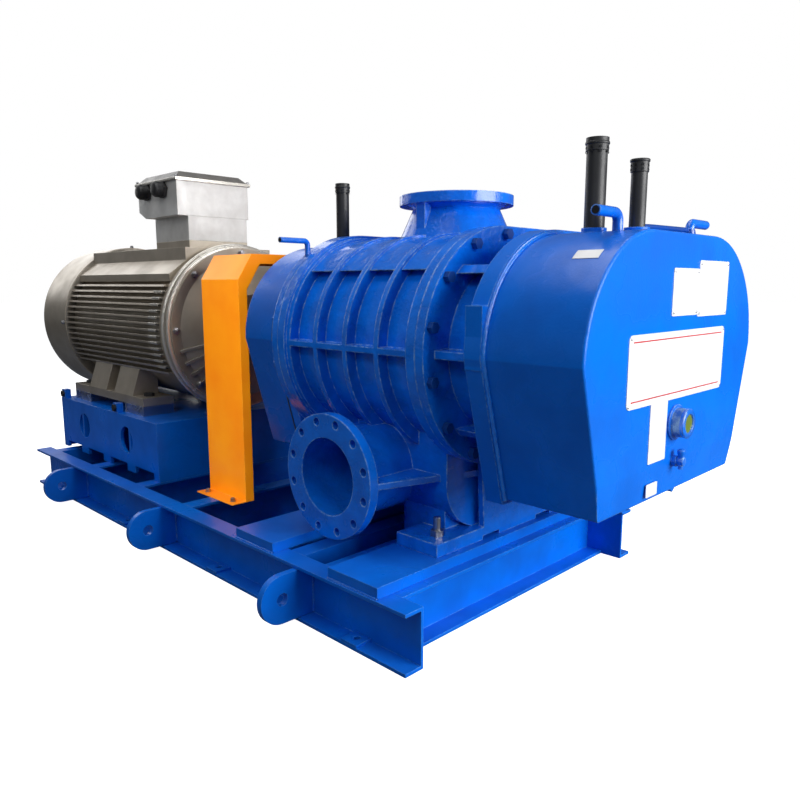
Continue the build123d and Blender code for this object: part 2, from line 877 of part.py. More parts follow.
def coupling_pins():
    """Headed drive pins through both coupling flanges."""
    solids = []
    reach = coupling_gap / 2 + coupling_flange_t
    for n in range(pin_count):
        angle = 2 * pi * n / pin_count
        y = drive_y + pin_pcd_r * cos(angle)
        z = axis_height + pin_pcd_r * sin(angle)
        pin = disc(coupling_x - reach, coupling_x + reach, y, z, pin_r)
        pin += disc(coupling_x - reach - pin_head_t, coupling_x - reach, y, z, pin_head_r)
        pin += disc(coupling_x + reach, coupling_x + reach + pin_head_t, y, z, pin_head_r)
        solids.append(pin)
    return group(solids)


def guard_outline(inset):
    """The arch of the coupling guard, set in all round but at its foot."""
    half = guard_half - inset
    top = guard_top - inset
    shoulder = top - guard_shoulder
    return make_face(Polyline(
        (drive_y - half, channel_h),
        (drive_y - half, shoulder),
        (drive_y - half + guard_chamfer, top),
        (drive_y + half - guard_chamfer, top),
        (drive_y + half, shoulder),
        (drive_y + half, channel_h),
        close=True,
    ))


def coupling_guard():
    """Folded sheet arch with returned edges and bent feet."""
    x1 = guard_x0 + guard_width
    arch = along_x(guard_outline(0), guard_x0, x1)
    arch -= along_x(guard_outline(guard_sheet), guard_x0 + guard_sheet, x1 - guard_sheet)
    arch -= along_x(guard_outline(guard_return), guard_x0, x1)
    for side in (-1, 1):
        edge = drive_y + side * guard_half
        out = edge + side * guard_foot
        arch += block(guard_x0, x1, min(edge - side * guard_sheet, out),
                      max(edge - side * guard_sheet, out), channel_h, channel_h + guard_sheet)
    return arch


# ---------------------------------------------------------------------- motor
def fin_section():
    """Round frame with level fins on both flanks and a smooth stepped back."""
    core = Circle(motor_core_r)
    fins = Sketch()
    for n in range(fin_rows):
        z = (n - (fin_rows - 1) / 2) * fin_pitch
        fins += Pos(0, z) * Rectangle(2 * fin_r, fin_t)
    fins &= Circle(fin_r)
    left = [
        (-back_half, back_top),
        (-back_half, back_top - back_drop),
        (-panel_half, panel_bottom),
        (-panel_half, panel_bottom - panel_lip),
    ]
    right = [(-y, z) for y, z in reversed(left)]
    return core + fins + make_face(Polyline(*left, *right, close=True))


def motor_frame():
    """Cast frame: fins, end bands, terminal seat and feet."""
    place = Pos(drive_y, axis_height)
    fin_end = motor_end - frame_band
    frame = along_x(place * fin_section(), motor_start, fin_end)
    frame += along_x(place * Circle((motor_core_r + fin_r) / 2), fin_end, motor_end)
    frame += block(riser_x0, riser_x0 + riser_length, riser_y0, riser_y0 + riser_width,
                   axis_height + frame_bore_r, riser_bottom)
    foot_end = motor_foot_start + motor_foot_length
    for side in (-1, 1):
        edge = drive_y + side * motor_foot_half
        inner = edge - side * motor_foot_width
        y0, y1 = min(edge, inner), max(edge, inner)
        frame += block(motor_foot_start, foot_end, y0, y1, foot_z, foot_z + motor_foot_t)
        for x in foot_rib_places():
            root = drive_y + side * (frame_bore_r - foot_rib_h / 2)
            rib = make_face(Polyline(
                (edge, foot_z + motor_foot_t),
                (edge - side * foot_rib_h / 3, foot_z + motor_foot_t + foot_rib_h),
                (root, foot_z + motor_foot_t + foot_rib_h),
                (root, foot_z + motor_foot_t),
                close=True,
            ))
            frame += along_x(rib, x, x + foot_rib_l)
        for x in motor_bolt_places():
            frame -= post(x, drive_y + side * foot_hole_half, foot_z, foot_z + motor_foot_t,
                          motor_bolt_r)
    return frame - disc(motor_start - 10, motor_end + 10, drive_y, axis_height, frame_bore_r)


motor_bolt_r = 14.0
motor_bolt_inset = 60.0
foot_rib_l = 195.0         # broad wedges between the fins and the feet
foot_rib_gap = 90.0
foot_rib_h = 128.0
foot_rib_shift = 42.0


def foot_rib_places():
    """Start of each broad rib, between the foot bolts."""
    middle = motor_foot_start + motor_foot_length / 2 + foot_rib_shift
    return middle - foot_rib_gap / 2 - foot_rib_l, middle + foot_rib_gap / 2


def motor_bolt_places():
    """Positions of the motor foot bolts along the feet."""
    return (motor_foot_start + motor_bolt_inset,
            motor_foot_start + motor_foot_length - motor_bolt_inset)


def motor_packers():
    """Machined blocks between the pedestal and the motor feet."""
    solids = []
    foot_end = motor_foot_start + motor_foot_length
    for side in (-1, 1):
        edge = drive_y + side * motor_foot_half
        inner = edge - side * motor_foot_width
        for x0 in (motor_foot_start, foot_end - packer_length):
            packer = block(x0, x0 + packer_length, min(edge, inner), max(edge, inner),
                           pedestal_top, foot_z)
            for x in motor_bolt_places():
                if x0 < x < x0 + packer_length:
                    packer -= post(x, drive_y + side * foot_hole_half, pedestal_top, foot_z,
                                   motor_bolt_r)
            solids.append(packer)
    return group(solids)


def motor_foot_bolts():
    """Hex bolts through the motor feet and packers."""
    solids = []
    head_z = foot_z + motor_foot_t
    for side in (-1, 1):
        y = drive_y + side * foot_hole_half
        for x in motor_bolt_places():
            head = Pos(x, y, head_z) * extrude(hexagon(3 * motor_bolt_r), amount=motor_bolt_r)
            solids.append(head + post(x, y, pedestal_top, head_z, motor_bolt_r))
    return solids


def motor_pedestal():
    """Welded plate box that lifts the motor to the blower axis."""
    y0, y1 = drive_y - pedestal_half, drive_y + pedestal_half
    z_top = pedestal_top - pedestal_top_t
    box = block(pedestal_start, pedestal_end, y0, y1, z_top, pedestal_top)
    for y in (y0, y1 - pedestal_plate):
        side = block(pedestal_start, pedestal_end, y, y + pedestal_plate, channel_h, z_top)
        for x in pedestal_hole_x:
            side -= Pos(x, y + pedestal_plate / 2, pedestal_hole_z) * (Rot(90, 0, 0) * Cylinder(pedestal_hole_r, 3 * pedestal_plate))
        box += side
    span = pedestal_end - pedestal_start - pedestal_plate
    bay = span / pedestal_bays
    for n in range(pedestal_bays + 1):
        x = pedestal_start + n * bay
        box += block(x, x + pedestal_plate, y0, y1, channel_h, z_top)
    for side in (-1, 1):
        y = drive_y + side * pedestal_half / 3 - pedestal_plate / 2
        box += block(pedestal_start, pedestal_end, y, y + pedestal_plate, channel_h, z_top)
    slot = bay * pedestal_slot_share
    for n in range(pedestal_bays):
        x = pedestal_start + (n + 0.5) * bay + pedestal_plate / 2
        box -= block(x - slot / 2, x + slot / 2, y0, y1, channel_h, channel_h + pedestal_slot_h)
    return box


def jack_blocks():
    """Threaded blocks for the motor alignment screws."""
    solids = []
    for side in (-1, 1):
        edge = drive_y + side * pedestal_half
        inner = edge - side * jack_depth
        for x in jack_x:
            lump = block(x - jack_size / 2, x + jack_size / 2, min(edge, inner),
                         max(edge, inner), pedestal_top, pedestal_top + jack_size)
            hole = Rot(90, 0, 0) * Cylinder(jack_bolt_r, 3 * jack_size)
            solids.append(lump - Pos(x, edge, pedestal_top + jack_size / 2) * hole)
    return group(solids)


def jack_bolts():
    """Alignment screws through their blocks, heads outwards."""
    solids = []
    z = pedestal_top + jack_size / 2
    for side in (-1, 1):
        edge = drive_y + side * pedestal_half
        inner = edge - side * jack_depth
        for x in jack_x:
            length = abs(edge - inner)
            shank = Pos(x, (edge + inner) / 2, z) * (Rot(90, 0, 0) * Cylinder(jack_bolt_r, length))
            head_y = edge + side * jack_bolt_r / 2
            head = Rot(90, 0, 0) * extrude(hexagon(3 * jack_bolt_r), amount=jack_bolt_r / 2, both=True)
            solids.append(shank + Pos(x, head_y, z) * head)
    return solids


def drive_end_shield():
    """Domed motor end shield towards the coupling."""
    rim = disc(motor_end, motor_end + shield_rim_t, drive_y, axis_height, shield_rim_r)
    dome_x = motor_end + shield_rim_t
    dome = Cone(shield_rim_r - shield_step, shield_nose_r, shield_dome)
    rim += Pos(dome_x + shield_dome / 2, drive_y, axis_height) * (Rot(0, 90, 0) * dome)
    end = dome_x + shield_dome
    rim -= disc(motor_end, end - motor_bearing_w, drive_y, axis_height,
                motor_bearing_r + shield_relief)
    rim -= disc(motor_end, end - shield_lip, drive_y, axis_height, motor_bearing_r)
    return rim - disc(motor_end, end, drive_y, axis_height, motor_shaft_r + running_gap)


def fan_end_shield():
    """Flat motor end shield inside the fan cowl."""
    plate = disc(motor_start - fan_shield_t, motor_start, drive_y, axis_height, cowl_r - cowl_sheet)
    plate += ring(motor_start, motor_start + motor_bearing_w, drive_y, axis_height,
                  motor_bearing_r + seat_wall, motor_bearing_r)
    return plate - disc(motor_start - fan_shield_t, motor_start + motor_bearing_w, drive_y,
                        axis_height, motor_shaft_r + running_gap)


shield_inner = motor_end + shield_rim_t + shield_dome - shield_lip
motor_bearing_spans = (
    (motor_start, motor_start + motor_bearing_w),
    (shield_inner - motor_bearing_w, shield_inner),
)


def motor_bearing_outer_rings():
    """Outer races in the motor end shields."""
    return group(ring(x0, x1, drive_y, axis_height, motor_bearing_r,
                      motor_bearing_mid_r + running_gap) for x0, x1 in motor_bearing_spans)


def motor_bearing_inner_rings():
    """Inner races and balls on the motor shaft."""
    return group(ring(x0, x1, drive_y, axis_height, motor_bearing_mid_r, motor_shaft_r)
                 for x0, x1 in motor_bearing_spans)


stator_start = (motor_start + motor_end - stator_length) / 2
stator_end = stator_start + stator_length


def stator():
    """Laminated stator pack."""
    return ring(stator_start, stator_end, drive_y, axis_height, frame_bore_r,
                motor_rotor_r + airgap)


def motor_rotor_core():
    """Laminated rotor pack on the motor shaft."""
    return ring(stator_start, stator_end, drive_y, axis_height, motor_rotor_r, motor_shaft_r)


def motor_shaft():
    """Motor shaft from the fan to the coupling face."""
    return disc(cowl_start + cowl_round + 2 * grille_bar, coupling_x - coupling_gap / 2, drive_y,
                axis_height, motor_shaft_r)


fan_start = motor_start - fan_shield_t - fan_width - fan_gap


def motor_fan():
    """Radial cooling fan with straight blades."""
    fan = ring(fan_start, fan_start + fan_width, drive_y, axis_height, fan_hub_r,
               motor_shaft_r)
    fan += ring(fan_start + fan_width - fan_sheet, fan_start + fan_width, drive_y, axis_height,
                fan_r, motor_shaft_r)
    for n in range(fan_blades):
        inner = fan_hub_r - fan_sheet
        blade = Pos((fan_r + inner) / 2, 0) * Rectangle(fan_r - inner, fan_sheet)
        blade = Pos(drive_y, axis_height) * (Rot(0, 0, 360 * n / fan_blades) * blade)
        fan += along_x(blade, fan_start, fan_start + fan_width)
    return fan


def fan_cowl():
    """Sheet cowl over the fan, rounded at its open end."""
    outer = disc(cowl_start, motor_start, drive_y, axis_height, cowl_r)
    outer = fillet(outer.faces().sort_by(Axis.X)[0].edges(), cowl_round)
    inner = disc(cowl_start + cowl_sheet, motor_start, drive_y, axis_height, cowl_r - cowl_sheet)
    inner = fillet(inner.faces().sort_by(Axis.X)[0].edges(), cowl_round - cowl_sheet)
    return outer - inner - disc(cowl_start, motor_start, drive_y, axis_height,
                                cowl_r - cowl_round)


def fan_grille():
    """Round bars of the air inlet grille."""
    x0 = cowl_start
    x1 = cowl_start + cowl_sheet
    outer = cowl_r - cowl_round
    step = outer / grille_rings
    sketch = Sketch()
    for n in range(grille_rings):
        r = outer - n * step
        sketch += Circle(r) - Circle(r - grille_bar)
    for n in range(grille_spokes // 2):
        sketch += Rot(0, 0, 360 * n / grille_spokes) * Rectangle(2 * outer - grille_bar, grille_bar)
    return along_x(Pos(drive_y, axis_height) * sketch, x0, x1)


# --------------------------------------------------------------- terminal box
def hollow(x0, x1, y0, y1, z0, z1, wall):
    """A rectangular sleeve open at the top and bottom."""
    outer = block(x0, x1, y0, y1, z0, z1)
    return outer - block(x0 + wall, x1 - wall, y0 + wall, y1 - wall, z0, z1)


def terminal_riser():
    """Hollow neck between the motor frame and the terminal box."""
    return hollow(riser_x0, riser_x0 + riser_length, riser_y0, riser_y0 + riser_width,
                  riser_bottom, box_bottom, box_wall)


def box_form(inset):
    """The terminal box solid, its lower edge sloped at the fan side."""
    x0, x1 = box_x0 + inset, box_x0 + box_length - inset
    z0, z1 = box_bottom + inset, box_bottom + box_height
    side = make_face(Polyline(
        (x0, z1),
        (x0, z0 + box_slope / 2),
        (x0 + box_slope, z0),
        (x1, z0),
        (x1, z1),
        close=True,
    ))
    width = box_width - 2 * inset
    return extrude(Plane.XZ.offset(-box_y0 - inset - width) * side, amount=width)


def terminal_box():
    """Open-topped cast box on the riser."""
    box = box_form(0) - box_form(box_wall)
    for x in gland_x:
        hole = Rot(90, 0, 0) * Cylinder(gland_stem_r, 2 * box_wall)
        box -= Pos(x, box_y0 + box_wall / 2, gland_z) * hole
    return box


def terminal_box_lid():
    """Overhanging lid with a thin rim and a sloped crown."""
    x1, y1 = box_x0 + box_length, box_y0 + box_width
    z0 = box_bottom + box_height
    lid = block(box_x0 - lid_lip, x1 + lid_lip, box_y0 - lid_lip, y1 + lid_lip, z0, z0 + lid_rim)
    crown = block(box_x0, x1, box_y0, y1, z0 + lid_rim, z0 + lid_height)
    top = crown.faces().sort_by(Axis.Z)[-1].edges()
    return lid + chamfer(top, lid_height - lid_rim - 1)


def cable_glands():
    """Cable glands in the box wall on the discharge side."""
    solids = []
    for x in gland_x:
        nose = Rot(90, 0, 0) * Cylinder(gland_r, gland_length)
        gland = Pos(x, box_y0 - gland_length / 2, gland_z) * nose
        stem = Rot(90, 0, 0) * Cylinder(gland_stem_r, box_wall)
        solids.append(gland + Pos(x, box_y0 + box_wall / 2, gland_z) * stem)
    return group(solids)


# ------------------------------------------------------------------ fasteners
bolt_flats = 30.0
bolt_head = 18.0
flange_bolts_round = 8     # bolts on each rounded end of a casing flange
flange_bolts_flat = 2      # bolts along each straight side


def flange_bolt_places():
    """Bolt centres midway between the rib line and the flange edge."""
    r = (casing_r + flange_r) / 2
    places = []
    for axis_y, start in ((driven_y, -90), (drive_y, 90)):
        for n in range(flange_bolts_round):
            angle = (start + 180 * n / (flange_bolts_round - 1)) * pi / 180
            places.append((axis_y + r * cos(angle), axis_height + r * sin(angle)))
    for n in range(flange_bolts_flat):
        y = drive_y + axis_spacing * (n + 1) / (flange_bolts_flat + 1)
        places.append((y, axis_height + r))
    return places


def casing_bolts():
    """Hex heads that clamp both side plates to the casing."""
    gear_face = casing_end + plate_flange_t
    solids = []
    for y, z in flange_bolt_places():
        head = along_x(Pos(y, z) * hexagon(bolt_flats), gear_face, gear_face + bolt_head)
        solids.append(head)
    return group(solids)


stud_r = 12.0
stud_h = 60.0
stud_edge = 65.0


def foundation_studs():
    """Studs and nuts that hold the casing feet to the sole plates."""
    solids = []
    for x in (casing_start + foot_length / 3, casing_end - foot_length / 3):
        for side in (-1, 1):
            y = mid_y + side * (foot_width / 2 - stud_edge)
            stud = post(x, y, foot_top, foot_top + stud_h, stud_r)
            nut = extrude(hexagon(3.2 * stud_r), amount=1.6 * stud_r)
            solids.append(stud + Pos(x, y, foot_top) * nut)
    return group(solids)


# --------------------------------------------------------------------- export
def nodes():
    """Every node of the assembly by name."""
    parts = {"front_rail": rail(-1), "rear_rail": rail(1)}
    for n, (x, way) in enumerate(beam_places(), start=1):
        parts[f"cross_beam_{n}"] = cross_beam(x, way)
    sides = (-1, 1)
    parts.update({
        "lifting_lugs": group(lifting_lug(x, side) for x in lug_x for side in sides),
        "anchor_pads": group(anchor_pad(x, side) for x in anchor_x for side in sides),
        "sole_plates": group(sole_plate(x) for x in (drive_sole_x, gear_sole_x)),
        "foundation_studs": foundation_studs(),
        "casing": casing(),
        "casing_bolts": casing_bolts(),
        "drive_side_plate": drive_side_plate(),
        "gear_side_plate": gear_side_plate(),
        "oil_cover": oil_cover(),
        "gear_housing": gear_housing(),
        "sight_glass_body": sight_glass_body(),
        "sight_glass_lens": sight_glass_lens(),
        "drain_plugs": drain_plugs(),
        "breather_pipes": breather_pipes(),
        "breather_caps": breather_caps(),
        "vent_elbows": group(vent_elbow(*place) for place in elbow_places),
        "drive_rotor": rotor(drive_y, 0),
        "driven_rotor": rotor(driven_y, 90),
        "drive_shaft": blower_shaft(drive_y, hub_face),
        "driven_shaft": blower_shaft(driven_y, drive_plate_start),
        "drive_timing_gear": timing_gear(drive_y, 0.0),
        "driven_timing_gear": timing_gear(driven_y, 0.5),
        "bearing_outer_rings": bearing_outer_rings(),
        "drive_bearing_inner_rings": bearing_inner_rings(drive_y),
        "driven_bearing_inner_rings": bearing_inner_rings(driven_y),
        "shaft_seals": shaft_seals(),
        "motor_coupling_half": coupling_half(-1, motor_shaft_r),
        "blower_coupling_half": coupling_half(1, shaft_end_r),
        "coupling_pins": coupling_pins(),
        "coupling_guard": coupling_guard(),
        "motor_pedestal": motor_pedestal(),
        "motor_packers": motor_packers(),
        "jack_blocks": jack_blocks(),
        "motor_bolts": group(motor_foot_bolts() + jack_bolts()),
        "motor_frame": motor_frame(),
        "drive_end_shield": drive_end_shield(),
        "fan_end_shield": fan_end_shield(),
        "motor_bearing_outer_rings": motor_bearing_outer_rings(),
        "motor_bearing_inner_rings": motor_bearing_inner_rings(),
        "stator": stator(),
        "motor_rotor_core": motor_rotor_core(),
        "motor_shaft": motor_shaft(),
        "motor_fan": motor_fan(),
        "fan_cowl": fan_cowl(),
        "fan_grille": fan_grille(),
        "terminal_riser": terminal_riser(),
        "terminal_box": terminal_box(),
        "terminal_box_lid": terminal_box_lid(),
        "cable_glands": cable_glands(),
    })
    return parts


os.makedirs("parts", exist_ok=True)
for name, shape in nodes().items():
    export_step(shape, f"parts/{name}.step")
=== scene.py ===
"""Finishes and fitted details of a motor-driven rotary blower set on a welded channel base."""

import logging
import math
from dataclasses import dataclass, field
from enum import Enum
from typing import Callable, Iterable, Sequence

import bmesh
import bpy
from mathutils import Euler, Matrix, Vector


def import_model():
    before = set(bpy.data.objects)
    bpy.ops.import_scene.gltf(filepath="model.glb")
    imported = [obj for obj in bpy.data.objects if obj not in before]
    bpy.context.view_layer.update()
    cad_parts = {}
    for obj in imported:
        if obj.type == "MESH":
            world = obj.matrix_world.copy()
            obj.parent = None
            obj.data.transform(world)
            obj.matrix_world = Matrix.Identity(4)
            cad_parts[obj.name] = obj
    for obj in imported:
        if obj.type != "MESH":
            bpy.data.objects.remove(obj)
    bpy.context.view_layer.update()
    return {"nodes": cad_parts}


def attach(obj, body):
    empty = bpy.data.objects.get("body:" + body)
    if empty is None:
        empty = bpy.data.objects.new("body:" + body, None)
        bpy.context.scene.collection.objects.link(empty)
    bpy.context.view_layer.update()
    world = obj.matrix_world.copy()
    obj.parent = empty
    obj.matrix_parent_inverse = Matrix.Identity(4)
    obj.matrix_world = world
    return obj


Colour = tuple[float, float, float]
Point = tuple[float, float, float]
Flat = tuple[float, float]
Shape = bmesh.types.BMesh
Socket = bpy.types.NodeSocket
LOG = logging.getLogger("blower_set")


# ------------------------------------------------------------------ directions
class Way(Enum):
    """The direction in which a fastener or a plate points, as a turn from straight up."""

    UP = (0.0, 0.0, 0.0)
    DOWN = (math.pi, 0.0, 0.0)
    GEAR_END = (0.0, math.pi / 2, 0.0)
    FAN_END = (0.0, -math.pi / 2, 0.0)
    DISCHARGE = (math.pi / 2, 0.0, 0.0)
    BACK = (-math.pi / 2, 0.0, 0.0)

    def frame(self, place: Point, spin: float = 0.0) -> Matrix:
        """Returns the matrix that stands an upright form at a place, turned this way."""
        turn = Euler(self.value).to_matrix().to_4x4()
        return Matrix.Translation(place) @ turn @ Matrix.Rotation(spin, 4, "Z")


# --------------------------------------------------------------- tree writing
@dataclass
class TreeWriter:
    """Adds and joins nodes in one node tree."""

    tree: bpy.types.NodeTree

    def add(self, kind: str, values: dict | None = None, settings: dict | None = None) -> bpy.types.Node:
        """Adds a node.

        Args:
            kind: The node's type name.
            values: By socket name or number, an input's value or the output that feeds it.
            settings: Properties to set on the node.

        Returns:
            The new node.
        """
        node = self.tree.nodes.new(kind)
        for key, value in (settings or {}).items():
            setattr(node, key, value)
        for key, value in (values or {}).items():
            if isinstance(value, Socket):
                self.join(value, node.inputs[key])
            else:
                node.inputs[key].default_value = value
        return node

    def out(self, kind: str, values: dict | None = None, settings: dict | None = None,
            output: int | str = 0) -> Socket:
        """Adds a node as add does and returns one of its outputs."""
        return self.add(kind, values, settings).outputs[output]

    def join(self, start: Socket, end: Socket) -> None:
        """Links an output to an input."""
        self.tree.links.new(start, end)

    def maths(self, operation: str, *terms: Socket | float) -> Socket:
        """Works out a value from others and returns the output."""
        return self.out("ShaderNodeMath", dict(enumerate(terms)), {"operation": operation})

    def plus(self, first: Socket, second: Socket) -> Socket:
        """Adds two values and returns the output."""
        return self.maths("ADD", first, second)

    def times(self, first: Socket, second: Socket | float) -> Socket:
        """Multiplies a value by another value or a number and returns the output."""
        return self.maths("MULTIPLY", first, second)

    def spread(self, value: Socket, low: float, high: float, out_low: float = 0.0,
               out_high: float = 1.0) -> Socket:
        """Maps a value's range to another range, held at both ends, and returns the output."""
        return self.out("ShaderNodeMapRange", {0: value, 1: low, 2: high, 3: out_low, 4: out_high},
                        {"clamp": True})

    def blend(self, share: Socket, first: Socket | Colour, second: Socket | Colour) -> Socket:
        """Mixes two colours by a share and returns the output."""
        ends = [(*end, 1.0) if isinstance(end, tuple) else end for end in (first, second)]
        return self.out("ShaderNodeMix", {0: share, 6: ends[0], 7: ends[1]}, {"data_type": "RGBA"}, 2)

    def noise(self, scale: Socket | float, detail: float, roughness: float = 0.5) -> Socket:
        """Lays noise on object coordinates.

        Args:
            scale: Features per metre.
            detail: Octaves of finer noise.
            roughness: Weight of the finer noise.

        Returns:
            The noise's value.
        """
        where = self.out("ShaderNodeTexCoord", output="Object")
        return self.out("ShaderNodeTexNoise", {"Vector": where, "Scale": scale, "Detail": detail,
                                               "Roughness": roughness})


SHADER = "ShaderNodeTree"
GEOMETRY_TREE = "GeometryNodeTree"
VALUE = "NodeSocketFloat"
WHOLE = "NodeSocketInt"
VECTOR = "NodeSocketVector"
GEOMETRY = "NodeSocketGeometry"
MATERIAL = "NodeSocketMaterial"
Given = bpy.types.NodeOutputs
Ends = bpy.types.NodeInputs


def new_group(name: str, kind: str, inputs: Sequence[tuple],
              outputs: Sequence[tuple]) -> tuple[TreeWriter, Given, Ends]:
    """Makes a node group with named sockets.

    Args:
        name: The group's name.
        kind: SHADER or GEOMETRY_TREE.
        inputs: Name, socket type and default of each input.
        outputs: Name and socket type of each output.

    Returns:
        A writer on the group, what the group is given, and the ends to feed.
    """
    tree = bpy.data.node_groups.new(name, kind)
    for title, socket, *start in inputs:
        made = tree.interface.new_socket(name=title, in_out="INPUT", socket_type=socket)
        if start:
            made.default_value = start[0]
    for title, socket in outputs:
        tree.interface.new_socket(name=title, in_out="OUTPUT", socket_type=socket)
    given, ends = (tree.nodes.new(node) for node in ("NodeGroupInput", "NodeGroupOutput"))
    return TreeWriter(tree), given.outputs, ends.inputs


# -------------------------------------------------------------- shared effects
class Effects:
    """Shader groups shared by the finishes, each built once."""

    def __init__(self) -> None:
        """Builds every group."""
        self.ripple = self._ripple()
        self.edge = self._edge()
        self.dust = self._dust()
        self.grain = self._grain()

    @staticmethod
    def _ripple() -> bpy.types.NodeTree:
        """Makes the uneven surface of paint sprayed over plate or casting.

        Returns:
            The group, which gives height and tone.
        """
        w, given, ends = new_group(
            "surface_ripple", SHADER,
            [("Fine Scale", VALUE, 180.0), ("Coarse Scale", VALUE, 9.0), ("Fine Share", VALUE, 0.3),
             ("Coarse Share", VALUE, 0.7)],
            [("Height", VALUE), ("Tone", VALUE)])
        fine = w.noise(given["Fine Scale"], 2.0)
        coarse = w.noise(given["Coarse Scale"], 3.0, 0.55)
        w.join(w.plus(w.times(fine, given["Fine Share"]), w.times(coarse, given["Coarse Share"])),
               ends["Height"])
        w.join(w.spread(coarse, 0.35, 0.65), ends["Tone"])
        return w.tree

    @staticmethod
    def _edge() -> bpy.types.NodeTree:
        """Makes the rounded normal near edges and a patchy mask of painted highlight along the edge.

        Returns:
            The group, which gives mask and normal.
        """
        w, given, ends = new_group("edge_rounding_and_highlight", SHADER, [("Radius", VALUE, 0.004)],
                                   [("Mask", VALUE), ("Normal", VECTOR)])
        bevel = w.out("ShaderNodeBevel", {"Radius": given["Radius"]}, {"samples": 4})
        plain = w.out("ShaderNodeNewGeometry", output="Normal")
        dot = w.out("ShaderNodeVectorMath", {0: bevel, 1: plain}, {"operation": "DOT_PRODUCT"}, "Value")
        # Painted highlight: a mask that lightens the colour along edges, broken into patches.
        painted_edge_highlight = w.spread(dot, 0.75, 0.995, 1.0, 0.0)
        patches = w.spread(w.noise(45.0, 3.0, 0.7), 0.42, 0.62, 0.12, 1.0)
        w.join(w.times(painted_edge_highlight, patches), ends["Mask"])
        w.join(bevel, ends["Normal"])
        return w.tree

    @staticmethod
    def _dust() -> bpy.types.NodeTree:
        """Makes the mask of thin dust that settles on faces turned up.

        Returns:
            The group, which gives the mask.
        """
        w, given, ends = new_group("settled_dust", SHADER,
                                   [("Amount", VALUE, 0.1), ("Scale", VALUE, 6.0)], [("Mask", VALUE)])
        normal = w.out("ShaderNodeNewGeometry", output="Normal")
        up = w.spread(w.out("ShaderNodeSeparateXYZ", {0: normal}, output="Z"), 0.55, 1.0)
        patchy = w.spread(w.noise(given["Scale"], 5.0, 0.65), 0.35, 0.75)
        w.join(w.times(w.times(up, patchy), given["Amount"]), ends["Mask"])
        return w.tree

    @staticmethod
    def _grain() -> bpy.types.NodeTree:
        """Makes fine lines of turned or laminated metal across the machine's axis.

        Returns:
            The group, which gives height and tone.
        """
        w, given, ends = new_group("cut_lines", SHADER, [("Lines", VALUE, 300.0), ("Waver", VALUE, 0.4)],
                                   [("Height", VALUE), ("Tone", VALUE)])
        where = w.out("ShaderNodeTexCoord", output="Object")
        wave = w.out("ShaderNodeTexWave",
                     {"Vector": where, "Scale": given["Lines"], "Distortion": given["Waver"],
                      "Detail": 2.0, "Detail Scale": 2.0},
                     {"wave_type": "BANDS", "bands_direction": "X"}, "Fac")
        w.join(wave, ends["Height"])
        w.join(w.spread(w.noise(14.0, 4.0), 0.3, 0.7), ends["Tone"])
        return w.tree


# ------------------------------------------------------------------- finishes
class Base(Enum):
    """How a finish's surface pattern is made."""

    PAINT = "paint over plate or casting"
    CUT = "turned, brushed or laminated metal"
    CLEAR = "glass"


@dataclass(frozen=True)
class Finish:
    """One finish of the machine.

    Sizes are metres; scales are features per metre.
    """

    name: str
    colour: Colour
    shade: Colour
    roughness: float
    metallic: float = 0.0
    coat: float = 0.0
    coat_roughness: float = 0.06
    base: Base = Base.PAINT
    edge_radius: float = 0.004
    # Painted highlight: a lighter colour mixed in along the edges, and how much of it.
    painted_highlight_colour: Colour = (0.5, 0.5, 0.5)
    painted_highlight_share: float = 0.0
    fine_scale: float = 160.0
    coarse_scale: float = 8.0
    coarse_share: float = 0.7
    depth: float = 0.0006
    dust: float = 0.06
    dust_colour: Colour = (0.55, 0.56, 0.58)
    specular: float = 0.5

    def build(self, effects: Effects) -> bpy.types.Material:
        """Makes the material.

        Args:
            effects: The shared shader groups.

        Returns:
            The material, all of its pattern on object coordinates.
        """
        material = bpy.data.materials.new(self.name)
        material.use_nodes = True
        sockets = material.node_tree.nodes["Principled BSDF"].inputs
        if self.base is Base.CLEAR:
            constants = {"Base Color": (*self.colour, 1.0), "Roughness": self.roughness,
                         "Transmission Weight": 0.55, "IOR": 1.47}
        else:
            self._pattern(TreeWriter(material.node_tree), effects, sockets)
            constants = {"Metallic": self.metallic, "Coat Weight": self.coat,
                         "Coat Roughness": self.coat_roughness, "Specular IOR Level": self.specular}
        for name, value in constants.items():
            sockets[name].default_value = value
        return material

    def _pattern(self, w: TreeWriter, effects: Effects, sockets: Ends) -> None:
        """Feeds the shader's colour, roughness and normal.

        Args:
            w: The writer of the material's tree.
            effects: The shared shader groups.
            sockets: The shader's inputs.
        """
        tree, sizes = effects.grain, {"Lines": self.fine_scale, "Waver": self.coarse_share}
        if self.base is Base.PAINT:
            tree, sizes = effects.ripple, {
                "Fine Scale": self.fine_scale, "Coarse Scale": self.coarse_scale,
                "Fine Share": 1.0 - self.coarse_share, "Coarse Share": self.coarse_share}
        group = "ShaderNodeGroup"
        pattern = w.add(group, sizes, {"node_tree": tree})
        edge = w.add(group, {"Radius": self.edge_radius}, {"node_tree": effects.edge})
        dust = w.out(group, {"Amount": self.dust, "Scale": 0.8 * self.coarse_scale},
                     {"node_tree": effects.dust})
        tone = pattern.outputs["Tone"]
        colour = w.blend(tone, self.shade, self.colour)
        # Mixes the lighter edge colour in along the edges as painted highlight.
        colour = w.blend(w.times(edge.outputs["Mask"], self.painted_highlight_share), colour, self.painted_highlight_colour)
        w.join(w.blend(dust, colour, self.dust_colour), sockets["Base Color"])
        rough = w.spread(tone, 0.0, 1.0, self.roughness + 0.06, self.roughness - 0.06)
        w.join(w.plus(rough, w.times(dust, 0.5)), sockets["Roughness"])
        bump = w.out("ShaderNodeBump", {"Strength": 1.0, "Distance": self.depth,
                                        "Height": pattern.outputs["Height"],
                                        "Normal": edge.outputs["Normal"]})
        w.join(bump, sockets["Normal"])


